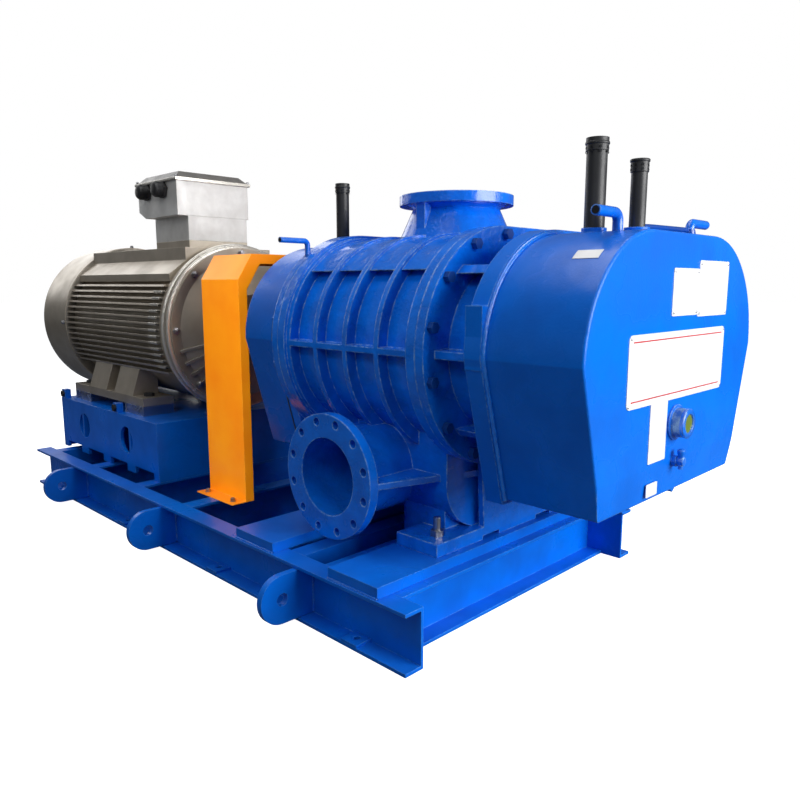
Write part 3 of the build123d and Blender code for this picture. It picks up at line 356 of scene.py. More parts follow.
BLUE = (0.0012, 0.175, 0.84)
BLUE_DEEP = (0.001, 0.13, 0.66)
FINISHES: tuple[Finish, ...] = (
    Finish("blue_plate_enamel", BLUE, BLUE_DEEP, 0.32, coat=0.12, painted_highlight_colour=(0.2, 0.55, 1.0),
           painted_highlight_share=0.6, fine_scale=240, coarse_scale=5.0, coarse_share=0.85, depth=0.0012,
           dust=0.015, specular=0.25),
    Finish("blue_cast_enamel", BLUE, BLUE_DEEP, 0.24, coat=0.5, edge_radius=0.007,
           painted_highlight_colour=(0.5, 0.8, 1.0), painted_highlight_share=0.85, fine_scale=120, coarse_scale=13.0,
           coarse_share=0.9, depth=0.009, dust=0.015, specular=0.4),
    Finish("blue_cover_enamel", BLUE, BLUE_DEEP, 0.28, coat=0.1, edge_radius=0.006,
           painted_highlight_colour=(0.3, 0.65, 1.0), painted_highlight_share=0.7, fine_scale=150, coarse_scale=4.0,
           coarse_share=0.9, depth=0.004, dust=0.012, specular=0.25),
    # Painted highlight: a lighter, glossier copy of the blue enamel for the housing weld bead.
    Finish("blue_weld_highlight_enamel", (0.01, 0.26, 1.0), (0.003, 0.2, 0.9), 0.16, coat=1.0, edge_radius=0.002,
           painted_highlight_colour=(0.7, 0.88, 1.0), painted_highlight_share=0.9, fine_scale=300, coarse_scale=60.0,
           coarse_share=0.9, depth=0.005, dust=0.0),
    # Painted shade: a darker copy of the blue enamel, worn by the casing bolts and the small vent pipe.
    Finish("blue_painted_shade_enamel", (0.001, 0.06, 0.34), (0.001, 0.045, 0.26), 0.35, coat=0.2,
           painted_highlight_colour=(0.05, 0.3, 0.9), painted_highlight_share=0.4, fine_scale=200, depth=0.0006, edge_radius=0.002,
           dust=0.01),
    Finish("red_rule_enamel", (0.62, 0.02, 0.03), (0.5, 0.015, 0.02), 0.35, fine_scale=200,
           depth=0.0002, edge_radius=0.0005, dust=0.0),
    # Painted shade: near black for the open ends of the vent elbows and the breather holes.
    Finish("bore_painted_shade", (0.004, 0.006, 0.01), (0.003, 0.004, 0.006), 0.8, fine_scale=200,
           depth=0.0002, edge_radius=0.0005, dust=0.0),
    Finish("orange_sheet_enamel", (1.0, 0.32, 0.005), (0.95, 0.25, 0.003), 0.36, coat=0.12, specular=0.25,
           painted_highlight_colour=(1.0, 0.62, 0.08), painted_highlight_share=0.5, fine_scale=260, coarse_scale=4.0,
           coarse_share=0.85, depth=0.001, dust_colour=(0.9, 0.6, 0.3)),
    Finish("motor_grey_enamel", (0.49, 0.43, 0.35), (0.4, 0.345, 0.275), 0.38, metallic=0.5,
           coat=0.12, coat_roughness=0.2, painted_highlight_colour=(0.7, 0.67, 0.62), painted_highlight_share=0.5,
           fine_scale=300, coarse_scale=7.0, coarse_share=0.6, depth=0.0006, edge_radius=0.003),
    # Painted highlight: a lighter copy of the motor grey for the drive-end rims, the fin ends and the lid
    # rim.
    Finish("motor_painted_highlight_enamel", (0.72, 0.69, 0.63), (0.6, 0.57, 0.51), 0.25, metallic=0.5, coat=0.5,
           painted_highlight_colour=(0.9, 0.88, 0.84), painted_highlight_share=0.6, fine_scale=300, coarse_scale=9.0,
           depth=0.0006, edge_radius=0.002),
    Finish("terminal_lid_enamel", (0.1, 0.092, 0.085), (0.075, 0.07, 0.064), 0.4, metallic=0.2,
           coat=0.15, painted_highlight_colour=(0.7, 0.68, 0.64), painted_highlight_share=0.7, fine_scale=240, coarse_scale=14.0,
           depth=0.0008, edge_radius=0.004),
    Finish("motor_cast_enamel", (0.36, 0.325, 0.28), (0.26, 0.235, 0.2), 0.42, metallic=0.4,
           coat=0.2, coat_roughness=0.25, painted_highlight_colour=(0.75, 0.72, 0.66), painted_highlight_share=0.6,
           fine_scale=220, coarse_scale=16.0, coarse_share=0.7, depth=0.0016, edge_radius=0.004),
    Finish("terminal_grey_enamel", (0.7, 0.695, 0.68), (0.6, 0.59, 0.575), 0.38, metallic=0.15, coat=0.2,
           coat_roughness=0.2, painted_highlight_colour=(0.9, 0.9, 0.88), painted_highlight_share=0.5, fine_scale=260,
           coarse_scale=14.0, coarse_share=0.5, depth=0.0006, edge_radius=0.004),
    Finish("black_enamel", (0.024, 0.025, 0.027), (0.015, 0.016, 0.018), 0.5, coat=0.1,
           painted_highlight_colour=(0.2, 0.2, 0.22), painted_highlight_share=0.25, fine_scale=260, depth=0.0004, edge_radius=0.0025),
    Finish("plated_steel", (0.5, 0.5, 0.52), (0.36, 0.36, 0.38), 0.34, metallic=1.0, base=Base.CUT,
           fine_scale=420, coarse_share=1.5, depth=0.00006, painted_highlight_colour=(0.9, 0.9, 0.92),
           painted_highlight_share=0.5, edge_radius=0.0015, dust=0.1),
    Finish("machined_steel_face", (0.56, 0.57, 0.59), (0.42, 0.43, 0.45), 0.28, metallic=1.0,
           base=Base.CUT, fine_scale=520, coarse_share=0.6, depth=0.00008,
           painted_highlight_colour=(0.95, 0.95, 0.97), painted_highlight_share=0.5, edge_radius=0.002, dust=0.04),
    Finish("ductile_iron", (0.3, 0.3, 0.31), (0.2, 0.2, 0.21), 0.42, metallic=0.9, base=Base.CUT,
           fine_scale=240, coarse_share=1.2, depth=0.0001, painted_highlight_colour=(0.7, 0.7, 0.72),
           painted_highlight_share=0.4, edge_radius=0.003, dust=0.03),
    Finish("core_laminations", (0.33, 0.33, 0.35), (0.2, 0.2, 0.22), 0.45, metallic=0.9,
           base=Base.CUT, fine_scale=700, coarse_share=0.2, depth=0.0003, painted_highlight_share=0.3,
           painted_highlight_colour=(0.6, 0.6, 0.62), edge_radius=0.002, dust=0.0),
    Finish("oil_glass", (0.34, 0.45, 0.07), (0.22, 0.3, 0.04), 0.06, base=Base.CLEAR),
    Finish("seal_rubber_black", (0.02, 0.02, 0.02), (0.012, 0.012, 0.012), 0.65, fine_scale=400,
           depth=0.0003, painted_highlight_share=0.1, painted_highlight_colour=(0.1, 0.1, 0.1), edge_radius=0.001),
    Finish("gland_nylon", (0.018, 0.018, 0.02), (0.012, 0.012, 0.013), 0.48, fine_scale=500,
           depth=0.0002, painted_highlight_share=0.2, painted_highlight_colour=(0.14, 0.14, 0.15), edge_radius=0.002),
    Finish("white_plate_enamel", (0.88, 0.89, 0.9), (0.82, 0.83, 0.84), 0.35, coat=0.3,
           fine_scale=200, coarse_scale=5.0, depth=0.0003, painted_highlight_colour=(0.6, 0.6, 0.62),
           painted_highlight_share=0.6, edge_radius=0.002, dust=0.0),
    Finish("oil_paper_gasket", (0.07, 0.09, 0.11), (0.05, 0.06, 0.08), 0.7, fine_scale=300,
           depth=0.0003, edge_radius=0.001, dust=0.0),
    Finish("pale_floor", (0.93, 0.93, 0.93), (0.91, 0.91, 0.91), 0.85, fine_scale=60,
           coarse_scale=0.8, depth=0.0002, edge_radius=0.001, dust=0.0),
)


# ------------------------------------------------------------- grown patterns
class Growers:
    """Geometry Nodes trees for what repeats or follows a path, each built once."""

    def __init__(self) -> None:
        """Builds every tree."""
        self.fasteners = self._fasteners()
        self.bead = self._bead()
        self.perforation = self._perforation()
        self.rings = self._rings()

    @staticmethod
    def _new(name: str, inputs: Sequence[tuple]) -> tuple[TreeWriter, Given, Ends]:
        """Starts a tree that takes sizes and a finish and gives geometry."""
        return new_group(name, GEOMETRY_TREE, [*inputs, ("Finish", MATERIAL)], [("Geometry", GEOMETRY)])

    @staticmethod
    def _close(w: TreeWriter, geometry: Socket, finish: Socket, ends: Ends) -> bpy.types.NodeTree:
        """Ends a tree in real geometry with its finish.

        Args:
            w: The writer of the tree.
            geometry: The output that holds the instances.
            finish: The output that gives the finish.
            ends: The group's ends.

        Returns:
            The finished tree.
        """
        real = w.out("GeometryNodeRealizeInstances", {0: geometry})
        w.join(w.out("GeometryNodeSetMaterial", {"Geometry": real, "Material": finish}), ends[0])
        return w.tree

    @staticmethod
    def _copies(w: TreeWriter, points: Socket, instance: Socket, **more: Socket) -> Socket:
        """Stands an instance on every point and returns the instances."""
        return w.out("GeometryNodeInstanceOnPoints", {"Points": points, "Instance": instance, **more})

    @staticmethod
    def _prism(w: TreeWriter, vertices: int, bottom: Socket, top: Socket, depth: Socket,
               lift: Socket | None = None) -> Socket:
        """Makes a closed frustum standing on the origin, lifted by a height.

        Args:
            w: The writer of the tree.
            vertices: Corners round.
            bottom: Radius below.
            top: Radius above.
            depth: Height.
            lift: Height of its foot over the origin.

        Returns:
            The geometry output.
        """
        cone = w.out("GeometryNodeMeshCone",
                     {"Vertices": vertices, "Radius Bottom": bottom, "Radius Top": top, "Depth": depth},
                     {"fill_type": "NGON"})
        if lift is None:
            return cone
        shift = w.out("ShaderNodeCombineXYZ", {"Z": lift})
        return w.out("GeometryNodeTransform", {"Geometry": cone, "Translation": shift})

    @classmethod
    def _fasteners(cls) -> bpy.types.NodeTree:
        """Makes chamfered hex heads on washers, with a stud end, one at each given point.

        Returns:
            The tree.
        """
        w, size, ends = cls._new(
            "hex_fasteners",
            [("Places", GEOMETRY), ("Across Flats", VALUE, 0.03), ("Head Height", VALUE, 0.018),
             ("Washer Radius", VALUE, 0.02), ("Washer Height", VALUE, 0.003), ("Stud Radius", VALUE, 0.006),
             ("Stud Reach", VALUE, 0.002), ("Turn", VECTOR, (0.0, 0.0, 0.0))])
        disc, lift = size["Washer Radius"], size["Washer Height"]
        stud = size["Stud Radius"]
        corner = w.times(size["Across Flats"], 0.577)
        low = w.times(size["Head Height"], 0.84)
        crown = w.times(size["Head Height"], 0.16)
        joined = w.add("GeometryNodeJoinGeometry")
        for part in (
            cls._prism(w, 28, disc, disc, lift),
            cls._prism(w, 6, corner, corner, low, lift),
            cls._prism(w, 6, corner, w.times(corner, 0.86), crown, w.plus(low, lift)),
            cls._prism(w, 16, stud, w.times(stud, 0.85), size["Stud Reach"],
                       w.plus(size["Head Height"], lift)),
        ):
            w.join(part, joined.inputs[0])
        spin = w.out("FunctionNodeRandomValue", {2: 0.0, 3: 1.05, "Seed": 7}, {"data_type": "FLOAT"}, 1)
        own = w.out("FunctionNodeAxisAngleToRotation", {"Angle": spin})
        turn = w.out("FunctionNodeEulerToRotation", {0: size["Turn"]})
        both = w.out("FunctionNodeRotateRotation", {0: turn, 1: own}, {"rotation_space": "LOCAL"})
        placed = cls._copies(w, size["Places"], joined.outputs[0], Rotation=both)
        return cls._close(w, placed, size["Finish"], ends)

    @classmethod
    def _bead(cls) -> bpy.types.NodeTree:
        """Makes a rippled weld bead along the edges of a path.

        Returns:
            The tree.
        """
        w, size, ends = cls._new(
            "weld_bead",
            [("Path", GEOMETRY), ("Bead Radius", VALUE, 0.005), ("Ripple Pitch", VALUE, 0.008),
             ("Ripple Depth", VALUE, 0.18)])
        curve = w.out("GeometryNodeMeshToCurve", {0: size["Path"]})
        even = w.out("GeometryNodeResampleCurve",
                     {"Curve": curve, "Length": w.times(size["Ripple Pitch"], 0.5)}, {"mode": "LENGTH"})
        odd = w.maths("MODULO", w.out("GeometryNodeInputIndex"), 2.0)
        narrow = w.maths("SUBTRACT", 1.0, w.times(odd, size["Ripple Depth"]))
        sized = w.out("GeometryNodeSetCurveRadius", {"Curve": even, "Radius": narrow})
        circle = w.out("GeometryNodeCurvePrimitiveCircle", {"Resolution": 8, "Radius": size["Bead Radius"]})
        body = w.add("GeometryNodeCurveToMesh", {"Curve": sized, "Profile Curve": circle, "Fill Caps": True})
        if "Scale" in body.inputs:
            w.join(narrow, body.inputs["Scale"])
        smooth = w.out("GeometryNodeSetShadeSmooth", {"Geometry": body.outputs[0]})
        return cls._close(w, smooth, size["Finish"], ends)

    @classmethod
    def _perforation(cls) -> bpy.types.NodeTree:
        """Makes rows of thin round discs round an upright band, standing for small holes in painted shade.

        Returns:
            The tree.
        """
        w, size, ends = cls._new(
            "perforated_band",
            [("Places", GEOMETRY), ("Holes Round", WHOLE, 16), ("Hole Rows", WHOLE, 3),
             ("Band Radius", VALUE, 0.03), ("Band Height", VALUE, 0.02), ("Hole Radius", VALUE, 0.0022)])
        grid = w.out("GeometryNodeMeshGrid",
                     {"Size X": 2 * math.pi, "Size Y": size["Band Height"], "Vertices X": size["Holes Round"],
                      "Vertices Y": size["Hole Rows"]})
        where = w.add("ShaderNodeSeparateXYZ", {0: w.out("GeometryNodeInputPosition")}).outputs
        x, y = (w.times(w.maths(side, where["X"]), size["Band Radius"]) for side in ("COSINE", "SINE"))
        wrapped = w.out("ShaderNodeCombineXYZ", {"X": x, "Y": y, "Z": where["Y"]})
        facing = w.out("ShaderNodeCombineXYZ", {"Y": math.pi / 2, "Z": where["X"]})
        turned = w.out("FunctionNodeEulerToRotation", {0: facing})
        hole = w.out("GeometryNodeMeshCone",
                     {"Vertices": 10, "Depth": 0.0007, "Radius Bottom": size["Hole Radius"],
                      "Radius Top": size["Hole Radius"]}, {"fill_type": "NGON"})
        holes = cls._copies(w, grid, hole, Rotation=turned)
        moved = w.out("GeometryNodeSetPosition", {"Geometry": holes, "Position": wrapped})
        band = w.out("GeometryNodeRealizeInstances", {0: moved})
        return cls._close(w, cls._copies(w, size["Places"], band), size["Finish"], ends)

    @classmethod
    def _rings(cls) -> bpy.types.NodeTree:
        """Makes evenly stepped round-wire rings in one plane, for an air inlet grille.

        Returns:
            The tree.
        """
        w, size, ends = cls._new(
            "wire_rings",
            [("Places", GEOMETRY), ("Ring Count", WHOLE, 12), ("Outer Radius", VALUE, 0.34),
             ("Ring Step", VALUE, 0.025), ("Wire Radius", VALUE, 0.0025),
             ("Turn", VECTOR, (0.0, math.pi / 2, 0.0))])
        line = w.out("GeometryNodeMeshLine", {"Offset": (0.0, 0.0, 0.0), "Count": size["Ring Count"]},
                     {"mode": "OFFSET"})
        inward = w.times(w.out("GeometryNodeInputIndex"), size["Ring Step"])
        radius = w.maths("SUBTRACT", size["Outer Radius"], inward)
        circle = w.out("GeometryNodeCurvePrimitiveCircle", {"Resolution": 72, "Radius": 1.0})
        rings = w.out("GeometryNodeRealizeInstances", {0: cls._copies(w, line, circle, Scale=radius)})
        wire = w.out("GeometryNodeCurvePrimitiveCircle", {"Resolution": 8, "Radius": size["Wire Radius"]})
        body = w.out("GeometryNodeCurveToMesh", {"Curve": rings, "Profile Curve": wire})
        smooth = w.out("GeometryNodeSetShadeSmooth", {"Geometry": body})
        turn = w.out("FunctionNodeEulerToRotation", {0: size["Turn"]})
        placed = cls._copies(w, size["Places"], smooth, Rotation=turn)
        return cls._close(w, placed, size["Finish"], ends)


# ------------------------------------------------------------ mesh construction
@dataclass
class Workshop:
    """What every sub-assembly needs to make and fit its pieces."""

    nodes: dict
    materials: dict[str, bpy.types.Material]
    growers: Growers
    made: list[str] = field(default_factory=list)

    def fit(self, name: str, mesh: bpy.types.Mesh) -> None:
        """Fits a finished mesh to the fixed body.

        Args:
            name: The piece's name.
            mesh: The mesh, in place.
        """
        piece = bpy.data.objects.new(name, mesh)
        bpy.context.scene.collection.objects.link(piece)
        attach(piece, "base_set")
        self.made.append(name)
        LOG.info("%s: %d faces", name, len(mesh.polygons))

    def solid(self, name: str, build: Callable[[Shape], None], finish: str,
              crease: float = 35.0) -> None:
        """Makes one piece from a mesh builder.

        Args:
            name: The piece's name.
            build: A function that fills a bmesh, in metres, in place.
            finish: The finish it wears.
            crease: Edges sharper than this many degrees stay sharp.
        """
        shape = bmesh.new()
        build(shape)
        bmesh.ops.remove_doubles(shape, verts=shape.verts, dist=0.00001)
        bmesh.ops.recalc_face_normals(shape, faces=shape.faces)
        mesh = bpy.data.meshes.new(name)
        shape.to_mesh(mesh)
        shape.free()
        mesh.polygons.foreach_set("use_smooth", [True] * len(mesh.polygons))
        mesh.set_sharp_from_angle(angle=math.radians(crease))
        mesh.materials.append(self.materials[finish])
        self.fit(name, mesh)

    def grown(self, name: str, tree: bpy.types.NodeTree, points: Iterable[Point], finish: str, slot: str,
              edges: Iterable[tuple[int, int]] = (), **sizes: object) -> None:
        """Makes one piece, a plain mesh, by a Geometry Nodes tree on points or on a path.

        Args:
            name: The piece's name.
            tree: The tree to run.
            points: Points, in metres.
            finish: The finish it wears.
            slot: Not used.
            edges: Pairs of points joined as a path.
            sizes: The tree's inputs, with underscores for spaces.
        """
        seed = bpy.data.meshes.new(name + "_places")
        seed.from_pydata([tuple(p) for p in points], list(edges), [])
        holder = bpy.data.objects.new(name + "_places", seed)
        bpy.context.scene.collection.objects.link(holder)
        modifier = holder.modifiers.new("grow", "NODES")
        modifier.node_group = tree
        wanted = {key.replace("_", " "): value for key, value in sizes.items()}
        wanted["Finish"] = self.materials[finish]
        for item in tree.interface.items_tree:
            if item.item_type == "SOCKET" and item.in_out == "INPUT" and item.name in wanted:
                modifier[item.identifier] = wanted[item.name]
        holder.update_tag()
        bpy.context.view_layer.update()
        state = bpy.context.evaluated_depsgraph_get()
        mesh = bpy.data.meshes.new_from_object(holder.evaluated_get(state))
        holder.modifiers.clear()
        bpy.data.objects.remove(holder)
        mesh.name = name
        self.fit(name, mesh)

    def dress(self, names: Iterable[str], finish: str) -> None:
        """Gives nodes of the frame a finish in their own material slots.

        Args:
            names: The nodes.
            finish: The finish they wear.
        """
        for name in names:
            mesh = self.nodes[name].data
            mesh.materials.clear()
            mesh.materials.append(self.materials[finish])

    def bolts(self, name: str, points: Sequence[Point], way: Way, flats: float,
              finish: str = "plated_steel", slot: str = "bolt_steel") -> None:
        """Places hex heads with washers, all pointing one way.

        Args:
            name: The piece's name.
            points: Where each washer sits.
            way: The direction the heads point.
            flats: Across flats, in metres.
            finish: The finish they wear.
            slot: Not used; it is passed on to grown, which does not read it.
        """
        self.grown(name, self.growers.fasteners, points, finish, slot, Across_Flats=flats,
                   Head_Height=0.62 * flats, Washer_Radius=0.62 * flats, Washer_Height=0.1 * flats,
                   Stud_Radius=0.3 * flats, Stud_Reach=0.002, Turn=way.value)

    def weld(self, name: str, runs: Sequence[Sequence[Point]], radius: float,
             finish: str = "blue_cast_enamel") -> None:
        """Lays rippled beads along open runs of points.

        Args:
            name: The piece's name.
            runs: Each bead's points, in order.
            radius: The bead's radius, in metres.
            finish: The finish it wears.
        """
        points: list[Point] = []
        edges: list[tuple[int, int]] = []
        for run in runs:
            first = len(points)
            points.extend(run)
            edges.extend((first + n, first + n + 1) for n in range(len(run) - 1))
        self.grown(name, self.growers.bead, points, finish, "blue_paint", edges, Bead_Radius=radius,
                   Ripple_Pitch=2.2 * radius, Ripple_Depth=0.16)


def circle(radius: float, steps: int) -> list[Flat]:
    """Returns the corners of a regular polygon round the origin."""
    angles = (2 * math.pi * n / steps for n in range(steps))
    return [(radius * math.cos(angle), radius * math.sin(angle)) for angle in angles]


def rounded_rectangle(width: float, height: float, corner: float, steps: int = 6) -> list[Flat]:
    """Lays out a rectangle with round corners, centred on the origin.

    Args:
        width: Its size along the first axis.
        height: Its size along the second axis.
        corner: Radius of the corners.
        steps: Steps in each corner.

    Returns:
        The corners in order.
    """
    points = []
    for quarter, (sx, sy) in enumerate(((1, 1), (-1, 1), (-1, -1), (1, -1))):
        for n in range(steps + 1):
            angle = math.pi / 2 * (quarter + n / steps)
            points.append((sx * (width / 2 - corner) + corner * math.cos(angle),
                           sy * (height / 2 - corner) + corner * math.sin(angle)))
    return points


def skin(shape: Shape, rings: Sequence[Sequence[bmesh.types.BMVert]], capped: bool = True) -> None:
    """Joins rings of corners into a surface.

    Args:
        shape: The mesh to add to.
        rings: Rings with as many corners each, or with one where they meet in a point.
        capped: Whether a flat face closes the first and the last ring.
    """
    for low, high in zip(rings, rings[1:]):
        steps = max(len(low), len(high))
        for n in range(steps):
            m = (n + 1) % steps
            corners = (low[n % len(low)], low[m % len(low)], high[m % len(high)], high[n % len(high)])
            unique = list(dict.fromkeys(corners))
            if len(unique) > 2:
                shape.faces.new(unique)
    if capped:
        shape.faces.new(rings[0][::-1])
        shape.faces.new(rings[-1])


def lathe(shape: Shape, profile: Sequence[Flat], place: Point, way: Way, segments: int = 48,
          hollow: bool = False) -> None:
    """Turns a profile about an axis.

    Args:
        shape: The mesh to add to.
        profile: Radius and height of each point, in metres; a full body's starts and ends at radius 0.
        place: Where height 0 of the axis lies.
        way: The direction of the axis.
        segments: Steps round.
        hollow: Whether the profile is the section of a ring, closed on its first point.
    """
    turn = way.frame(place)
    rings = []
    for radius, height in (*profile, profile[0]) if hollow else profile:
        steps = circle(radius, segments) if radius > 1e-7 else [(0.0, 0.0)]
        rings.append([shape.verts.new(turn @ Vector((x, y, height))) for x, y in steps])
    skin(shape, rings, capped=False)


def prism(shape: Shape, outline: Sequence[Flat], height: float, place: Point, way: Way,
          spin: float = 0.0, chamfer: float = 0.0) -> None:
    """Pulls a flat outline along an axis, with a chamfered far edge.

    Args:
        shape: The mesh to add to.
        outline: Corners in order, in metres.
        height: Length of the pull.
        place: Where the outline's origin lies.
        way: The direction of the pull.
        spin: Turn of the outline about the axis.
        chamfer: Width of the chamfer at the far edge.
    """
    turn = way.frame(place, spin)
    share = 1 - chamfer / max(math.hypot(x, y) for x, y in outline)
    levels = [(1.0, 0.0), (1.0, height - chamfer)] + ([(share, height)] if chamfer else [])
    skin(shape, [[shape.verts.new(turn @ Vector((x * size, y * size, z))) for x, y in outline]
                 for size, z in levels])


def tube(shape: Shape, path: Sequence[Point], radius: float, segments: int) -> None:
    """Sweeps a round section along a path with closed ends.

    Args:
        shape: The mesh to add to.
        path: Points of the centre line.
        radius: Radius of the tube.
        segments: Steps round.
    """
    line = [Vector(p) for p in path]
    side = (line[1] - line[0]).normalized().orthogonal().normalized()
    rings = []
    for n, point in enumerate(line):
        ahead = (line[min(n + 1, len(line) - 1)] - line[max(n - 1, 0)]).normalized()
        side = (side - ahead * side.dot(ahead)).normalized()
        other = ahead.cross(side)
        rings.append([shape.verts.new(point + x * side + y * other) for x, y in circle(radius, segments)])
    skin(shape, rings)


def bent(corners: Sequence[Point], radius: float, steps: int = 8) -> list[Point]:
    """Rounds the corners of a line.

    Args:
        corners: The corner points.
        radius: Distance from a corner at which its bend starts.
        steps: Points in each bend.

    Returns:
        The line's points in order.
    """
    line = [Vector(p) for p in corners]
    points = [line[0]]
    for before, corner, after in zip(line, line[1:], line[2:]):
        start = corner + (before - corner).normalized() * radius
        stop = corner + (after - corner).normalized() * radius
        for n in range(steps + 1):
            t = n / steps
            points.append(start * (1 - t) ** 2 + corner * 2 * t * (1 - t) + stop * t ** 2)
    points.append(line[-1])
    return [tuple(p) for p in points]


# ----------------------------------------------------------------- the machine
@dataclass(frozen=True)
class Stations:
    """Main places of the machine, in metres."""

    axis_z: float = 0.84
    drive_y: float = -0.07
    driven_y: float = 0.33
    mid_y: float = 0.13
    casing_start: float = 0.561
    housing_lip: float = 1.422
    housing_end: float = 1.717
    oil_cover_start: float = 0.311
    oil_cover_end: float = 0.486
    cover_r: float = 0.337
    cover_depth: float = 0.403
    cover_foot_half: float = 0.426
    flange_r: float = 0.37075
    casing_r: float = 0.32175
    port_x: float = 0.87
    inlet_z: float = 1.342
    outlet_y: float = -0.488
    outlet_z: float = 0.434
    port_t: float = 0.034
    neck_r: float = 0.15


AT = Stations()


def around(axis_y: float, radius: float, degrees: float) -> Flat:
    """Returns the (Y, Z) of a point round a shaft's axis, turned from the back side upwards."""
    angle = math.radians(degrees)
    return axis_y + radius * math.cos(angle), AT.axis_z + radius * math.sin(angle)


def cover_line(grow: float, steps: int = 24) -> list[Flat]:
    """Draws the covers in (Y, Z), from low on the discharge side over the top to low at the back.

    Args:
        grow: Distance outside the cover.
        steps: Points in each round shoulder.

    Returns:
        The points in order.
    """
    radius = AT.cover_r + grow
    points = [(AT.mid_y - AT.cover_foot_half - grow, AT.axis_z - AT.cover_depth)]
    for centre, first in ((AT.drive_y, 180.0), (AT.driven_y, 90.0)):
        points += [around(centre, radius, first - 90.0 * n / steps) for n in range(steps + 1)]
    points.append((AT.mid_y + AT.cover_foot_half + grow, AT.axis_z - AT.cover_depth))
    return points


@dataclass
class BaseFrame:
    """The welded channel base: paint, weld beads, soles and lugs."""

    web_y: float = 0.553
    web_t: float = 0.009
    height: float = 0.18
    beam_x: tuple[float, ...] = (-1.2, -0.8165, -0.353, 0.054, 0.7275, 0.8325, 0.9345, 1.0395, 1.2)
    lug_x: tuple[float, ...] = (-0.875, 0.0, 0.875)
    lug_t: float = 0.022
    sole_x: tuple[Flat, ...] = ((0.534, 0.745), (1.022, 1.233))
    sole_y: float = 0.6145
    bead: float = 0.0045

    def build(self, shop: Workshop) -> None:
        """Dresses the frame and lays its welds.

        Args:
            shop: The workshop that makes and fits the pieces.
        """
        names = ["front_rail", "rear_rail", "lifting_lugs", "anchor_pads", "sole_plates"]
        shop.dress(names + [f"cross_beam_{n}" for n in range(1, 10)], "blue_plate_enamel")
        shop.dress(["foundation_studs"], "plated_steel")
        self.beam_welds(shop)
        self.lug_welds(shop)
        self.sole_welds(shop)

    def beam_welds(self, shop: Workshop) -> None:
        """Lays upright beads where the cross beams meet the rails.

        Args:
            shop: The workshop that makes and fits the pieces.
        """
        runs = []
        for x in self.beam_x:
            for side in (-1, 1):
                y = side * (self.web_y - 0.002)
                runs.append([(x, y, 0.012), (x, y, self.height - 0.002)])
        shop.weld("beam_weld_beads", runs, self.bead)

    def lug_welds(self, shop: Workshop) -> None:
        """Lays beads on both faces of each lifting lug.

        Args:
            shop: The workshop that makes and fits the pieces.
        """
        runs = []
        for x in self.lug_x:
            for side in (-1, 1):
                for face in (-1, 1):
                    y = side * (self.web_y + self.web_t + 0.0015)
                    edge = x + face * (self.lug_t / 2 + 0.001)
                    runs.append([(edge, y, 0.014), (edge, y, self.height - 0.014)])
        shop.weld("lug_weld_beads", runs, self.bead)

    def sole_welds(self, shop: Workshop) -> None:
        """Lays beads along the sole plates on the rail flanges.

        Args:
            shop: The workshop that makes and fits the pieces.
        """
        top = self.height + 0.001
        runs = [[(x, side * self.sole_y, top) for x in ends] for ends in self.sole_x for side in (-1, 1)]
        shop.weld("sole_weld_beads", runs, self.bead)


